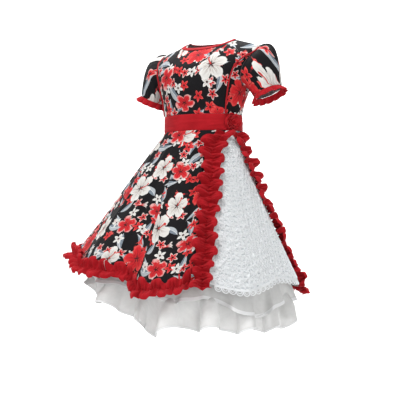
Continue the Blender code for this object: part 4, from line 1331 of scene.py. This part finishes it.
lines = []
for tier in range(TIER_ROWS):
    tier_length = 0.026 + 0.5 * TIER_PITCH * tier
    s = np.array([tier_length / LACE_SLANT])
    first, last = float(seam_angle("front", s)[0]) + 0.4, float(seam_angle("back", s)[0]) - 0.4
    radius = cone_radius(tier_length)
    waves = max(2, int(math.radians(last - first) * radius / TIER_LOOP))
    phase = np.linspace(0, 2 * math.pi * waves, 10 * waves) + 2.4 * tier
    wander = 1 + 0.22 * np.sin(phase * 0.37 + tier * 1.7) + 0.20 * np.sin(phase * 0.61 + tier * 2.9)
    curl = 2.1 * wander * np.sin(phase + 0.5 * np.sin(phase * 0.43 + tier))
    x = (phase - phase[0] - curl) / (2 * math.pi * waves)
    line_angle = first + (last - first) * np.clip(x, 0.0, 1.0)
    line_length = tier_length - TIER_RISE * wander * np.cos(phase + 0.4 * np.sin(phase * 0.31 + 2 * tier))
    inside = line_length < lace_hem(line_angle) - 0.002
    if inside.sum() < 8:
        continue
    for run in np.split(np.arange(len(inside)), np.flatnonzero(np.diff(inside.astype(int))) + 1):
        if inside[run[0]] and len(run) > 4:
            a, d = line_angle[run], line_length[run]
            share = d / LACE_SLANT
            from_front = a - read(GODET, "slant", "front", share)
            from_back = read(GODET, "slant", "back", share) - a
            near = np.minimum(from_front, from_back)
            covered = np.degrees(1.15 * 0.035 / (0.118 + 0.262 * d / LACE_SLANT))
            under = np.clip(near / covered - 0.85, 0.0, 0.15) / 0.15
            ripple = 0.0009 + (0.0015 + 0.0009 * np.sin(phase[run] * 1.3 + tier)) * under
            lines.append(skirt_point(a, d, skirt_creased(a, d) + ripple))
cords = grown("lace_panel_cords", lines, CORDS, Radius=LACE_CORD, Sides=4, Finish=LACE_CORD_FINISH)
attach(cords, "root")
sew_on(
    panel, outer, ["lace_panel"],
)

first = float(read(GODET, "slant", "front", 1.1)) + 6.0
pitch = (float(read(GODET, "slant", "back", 1.1)) - 6.0 - first) / LOOP_COUNT
lines = []
for n in range(LOOP_COUNT):
    for reach, spread, sink in ((1.0, 0.46, 0.0), (0.62, 0.27, 0.0006)):
        t = np.linspace(0, math.pi, 17)
        a = first + pitch * (n + 0.5 - spread * np.cos(t) * (1 + 0.18 * np.sin(t)))
        depth = LOOP_HEIGHT * reach * np.sin(t) ** 0.75 * (1 + 0.05 * math.sin(n * 2.3))
        lines.append(skirt_point(a, lace_hem(a) - 0.001 + depth, -0.0004 - sink))
for drop in (0.0, 0.0026):
    a = np.linspace(first, first + pitch * LOOP_COUNT, 140)
    lines.append(skirt_point(a, lace_hem(a) + drop, 0.0002))
loops = grown("lace_edge_loops", lines, CORDS, Radius=EDGE_CORD, Sides=7, Finish=LACE_CORD_FINISH)
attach(loops, "root")
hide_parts("lace_loops")


# Ruffles: strips of red poplin with both edges free, gathered along the middle and sewn down both
# edges of the godet and round the hem, so that the two edges stand up by turns.

RUFFLE_HALF_WIDTH = 0.035
RUFFLE_WAVE = 0.042
RUFFLE_LIFT = 0.0085
RUFFLE_BASE = 0.0019
HEM_RUFFLE_BASE = 0.0032
RUFFLE_CLOTH = 0.0011
RUFFLE_ROWS = 10
RUFFLE_CLEAR = 0.0009
STRIP_MIDDLE = 7


def gathered_strip(k, v, seed):
    """The strip's lift, its sway along the gathering line and its breadth, at step k and width v."""
    uneven = 1 + 0.17 * np.sin(k * 0.41 + seed) + 0.14 * np.sin(k * 0.93 + 2 * seed)
    phase = 0.5 * math.pi * k + 0.42 * np.sin(k * 0.29 + seed) + 0.22 * np.sin(k * 0.71 + 3 * seed)
    edge, facing = np.abs(v), np.sign(v) * np.sin(phase)
    crest = 1.0 - 2.0 * ((1.0 - facing) / 2.0) ** 2.3
    rise = 1.0 - (1.0 - edge) ** 1.7
    lift = 0.02 + 1.95 * rise * (crest + 1.0) * uneven - 2.10 * edge ** 4 * np.clip(crest, 0, 1)
    sway = -0.14 * edge * np.sin(2 * phase) + 0.10 * edge ** 1.5 * crest
    wander = 0.11 * np.sin(phase) + 0.09 * np.sin(k * 0.53 + 2 * seed)
    breadth = v * (0.87 + 0.10 * facing + 0.08 * np.sin(k * 0.37 + seed)) + wander * (1 - 0.3 * edge)
    gathers = np.sin(k * 6.1 + 1.4 * np.sin(k * 0.8)) + 0.7 * np.sin(k * 9.7 + seed)
    fine = 0.42 * gathers * np.exp(-(((edge - 0.18) / 0.34) ** 2)) + 0.11 * np.sin(k * 5.2 + 4 * v) * edge
    return np.maximum(lift + fine, -0.12), sway, breadth


def ruffle_piece(name, node, outer, lie_on, away, line):
    """Makes the strip and the gathering stitches down its middle."""
    piece = shell(name, outer, away, RUFFLE_CLOTH, (RED_FINISH,), place=(0.13 * len(name), 0.0))
    stitches = grown(
        name + "_stitches", [line], STITCHES, Pitch=STITCH_PITCH * 1.2, Length=STITCH_LENGTH,
        Radius=THREAD_RADIUS, Finish=RED_THREAD,
    )
    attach(stitches, "root")
    sew_on(piece, outer, [node])


v_across = np.linspace(-1, 1, 15)
for edge, seed in (("front", 0.7), ("back", 2.9)):
    top, bottom = 0.020, 1.055
    steps = 4 * int(0.5163 / RUFFLE_WAVE)
    k, v = np.meshgrid(np.linspace(0, steps, steps * RUFFLE_ROWS + 1), v_across, indexing="ij")
    lift, sway, breadth = gathered_strip(k, v, seed)
    s = top + (bottom - top) * np.clip(k + sway, 0.0, steps) / steps
    half = RUFFLE_HALF_WIDTH * np.interp(s, (0.02, 0.06, 0.30, 0.60), (0.92, 1.14, 1.06, 1.0))
    angle = read(GODET, "slant", edge, s) + breadth * np.degrees(half / (0.118 + 0.262 * s))
    height = RUFFLE_BASE + RUFFLE_CLOTH + RUFFLE_CLEAR + RUFFLE_LIFT * lift * np.minimum(1.0, 0.5 + 6.0 * s)
    outer = skirt_point(angle, s * slant_at(angle), height)
    line = outer[:, STRIP_MIDDLE] + skirt_out(angle[:, STRIP_MIDDLE]) * STITCH_LIFT
    ruffle_piece(
        "panel_ruffle_%s_cloth" % edge, "panel_ruffle_" + edge, outer, ["lace_panel_net"],
        skirt_out(angle), line,
    )

HEM_PIECES = 6
HEM_STEPS = 28
HEM_MARGIN = 4.6
HEM_PIECE_GAP = 0.06
HEM_LIFT_SHARE = 0.80
HEM_LIES_ON = (
    ("gore_side_left_cloth", "gore_back_left_cloth"),
    ("gore_back_left_cloth", "gore_back_right_cloth"),
    ("gore_back_right_cloth", "gore_side_right_cloth"),
    ("gore_side_right_cloth",),
    ("gore_front_right_cloth",),
    ("gore_front_right_cloth", "gore_front_left_cloth"),
)
start = float(read(GODET, "slant", "back", 1.0)) + HEM_MARGIN
end = float(read(GODET, "slant", "front", 1.0)) - HEM_MARGIN + 360.0
for p in range(HEM_PIECES):
    first = start + (end - start) * p / HEM_PIECES + HEM_PIECE_GAP
    last = start + (end - start) * (p + 1) / HEM_PIECES - HEM_PIECE_GAP
    k, v = np.meshgrid(np.linspace(0, HEM_STEPS, HEM_STEPS * RUFFLE_ROWS + 1), v_across, indexing="ij")
    lift, sway, breadth = gathered_strip(k + HEM_STEPS * p, v, 1.3)
    angle = first + (last - first) * np.clip(k + sway, 0.0, HEM_STEPS) / HEM_STEPS
    angle = (angle + 180.0) % 360.0 - 180.0
    length = slant_at(angle) - 0.004 + breadth * RUFFLE_HALF_WIDTH * 0.9
    height = HEM_RUFFLE_BASE + RUFFLE_CLOTH + RUFFLE_CLEAR + HEM_LIFT_SHARE * RUFFLE_LIFT * lift
    outer = skirt_point(angle, length, height)
    line = outer[:, STRIP_MIDDLE] + skirt_out(angle[:, STRIP_MIDDLE]) * STITCH_LIFT
    ruffle_piece(
        "hem_ruffle_%d_cloth" % (p + 1), "hem_ruffle_%d" % (p + 1), outer, list(HEM_LIES_ON[p]),
        skirt_out(angle), line,
    )


# Petticoats: two layers of white organza inside the skirt, each of six panels gathered at the waist,
# that wave freely below the cloth over them. Both are bound in satin ribbon, the upper one wider.

PETTICOAT_TURN = 0.85
ORGANZA = 0.0006
PANELS = 6
PETTICOAT_FALL = math.radians(12.0)
UPPER_HEM = {
    "angle": (-180, -120, -60, -20, 15, 40, 58, 76, 95, 116, 150, 180),
    "slant": (0.575, 0.560, 0.515, 0.540, 0.570, 0.560, 0.605, 0.575, 0.555, 0.572, 0.580, 0.575),
}
LOWER_HEM = {
    "angle": (-180, -140, -105, -80, -55, -35, -18, -5, 12, 25, 60, 90, 112, 132, 155, 180),
    "slant": (
        0.640, 0.625, 0.575, 0.535, 0.525, 0.560, 0.600, 0.630, 0.660, 0.635, 0.635, 0.625, 0.590,
        0.592, 0.625, 0.640,
    ),
}
PETTICOATS = (
    {
        "name": "upper", "hem": UPPER_HEM, "waves": 15, "phase": 0.4, "start": 0.0022, "gap": 0.019,
        "free": 0.018, "bind": 0.010,
    },
    {
        "name": "lower", "hem": LOWER_HEM, "waves": 19, "phase": 1.9, "start": 0.0038, "gap": 0.042,
        "free": 0.018, "bind": 0.005,
    },
)


def petticoat_point(angle, share, layer, out=0.0):
    """An organza layer inside the skirt, waving freely once it hangs below the cloth over it."""
    droop = 0.007 * np.sin(np.radians(angle * layer["waves"]) + layer["phase"] + 1.0) * share ** 8
    length = share * read(layer["hem"], "angle", "slant", angle) + droop
    slant, flare = slant_at(angle), flare_at(angle)
    s = length / slant
    gap = layer["start"] + (layer["gap"] - layer["start"]) * np.minimum(1.0, s * 1.4)
    ripple = np.sin(np.radians(angle * layer["waves"]) + layer["phase"])
    size = 0.0060 * np.clip((s - 0.25) * 1.8, 0.0, 1.0)
    godet = (angle > 28.0) & (angle < 120.0)
    over = np.where(godet, lace_hem(angle) + LOOP_HEIGHT, slant)
    free = np.clip(np.maximum(0.0, length - over * 0.97) / 0.07, 0.0, 1.0)
    size = size + free * layer["free"]
    fine = 0.0013 * np.sin(np.radians(angle * layer["waves"] * 3.0) + 1.0) * np.clip(s - 0.2, 0, 1)
    fine = fine + free * 0.0080 * np.sin(np.radians(angle * layer["waves"] * 2.0) + 2.1)
    twice = 2 * np.radians(angle * layer["waves"]) + 2 * layer["phase"]
    angle = angle - free * 55.0 / layer["waves"] * 0.5 * np.sin(twice)
    point = skirt_point(angle, length, ripple * size - gap + fine + out)
    hang = np.maximum(0.0, length - PETTICOAT_TURN * slant)[..., None]
    fall = flare - PETTICOAT_FALL
    level = (np.sin(fall) - np.sin(flare))[..., None]
    return point + hang * (flat_normal(angle) * level - stack(0.0, 0.0, np.cos(fall) - np.cos(flare)))


def organza_finish(name, cover, colour):
    """Sheer crisp cloth that lets part of the light through."""
    made = bpy.data.materials.new(name)
    made.use_nodes = True
    tree = made.node_tree
    shader = tree.nodes["Principled BSDF"]
    cut = on_cut(tree)
    shader.inputs["Base Color"].default_value = colour
    feed(tree, shader.inputs["Alpha"], noise(tree, cut, 60.0, 3.0) * 0.16 + (cover - 0.08))
    shader.inputs["Roughness"].default_value = 0.55
    shader.inputs["Sheen Weight"].default_value = 0.3
    bumped(tree, shader, weave_height(tree, cut, 0.0005), 0.2, 0.0003)
    return made


def satin_colour(tree, cut):
    return mixed(tree, noise(tree, cut, 30.0), (0.80, 0.80, 0.80, 1), (0.73, 0.74, 0.75, 1))


ORGANZA_FINISH = organza_finish("organza", 0.70, (0.76, 0.76, 0.75, 1))
SATIN_FINISH = cloth_finish("satin ribbon", satin_colour, rough=0.32, sheen=0.1, bump=0.1)

for layer in PETTICOATS:
    angle, share = np.meshgrid(np.linspace(-180, 180, 432, endpoint=False), np.linspace(0, 1, 5))
    hem_length = read(layer["hem"], "angle", "slant", angle)
    share = 1.0 - (1.0 - share) * layer["bind"] / hem_length
    outer = petticoat_point(angle, share, layer, 0.0006)
    inner = petticoat_point(angle, share, layer, -0.0014)
    ribbon = shell(
        "petticoat_%s_binding" % layer["name"], outer, skirt_out(angle), 0.002, (SATIN_FINISH,), wrapped=True,
        inner=inner,
    )
    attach(ribbon, "root")
    for p in range(PANELS):
        first = -180.0 + 60.0 * p
        angle, share = np.meshgrid(first + np.linspace(0.05, 59.95, 73), np.linspace(0.015, 0.999, 52))
        outer = petticoat_point(angle, share, layer)
        piece = shell(
            "petticoat_%s_%d_organza" % (layer["name"], p + 1), outer, skirt_out(angle), ORGANZA,
            (ORGANZA_FINISH,), place=(0.3 * p, 0.1),
        )
        sew_on(
            piece, outer, ["petticoat_%s_%d" % (layer["name"], p + 1)],
        )
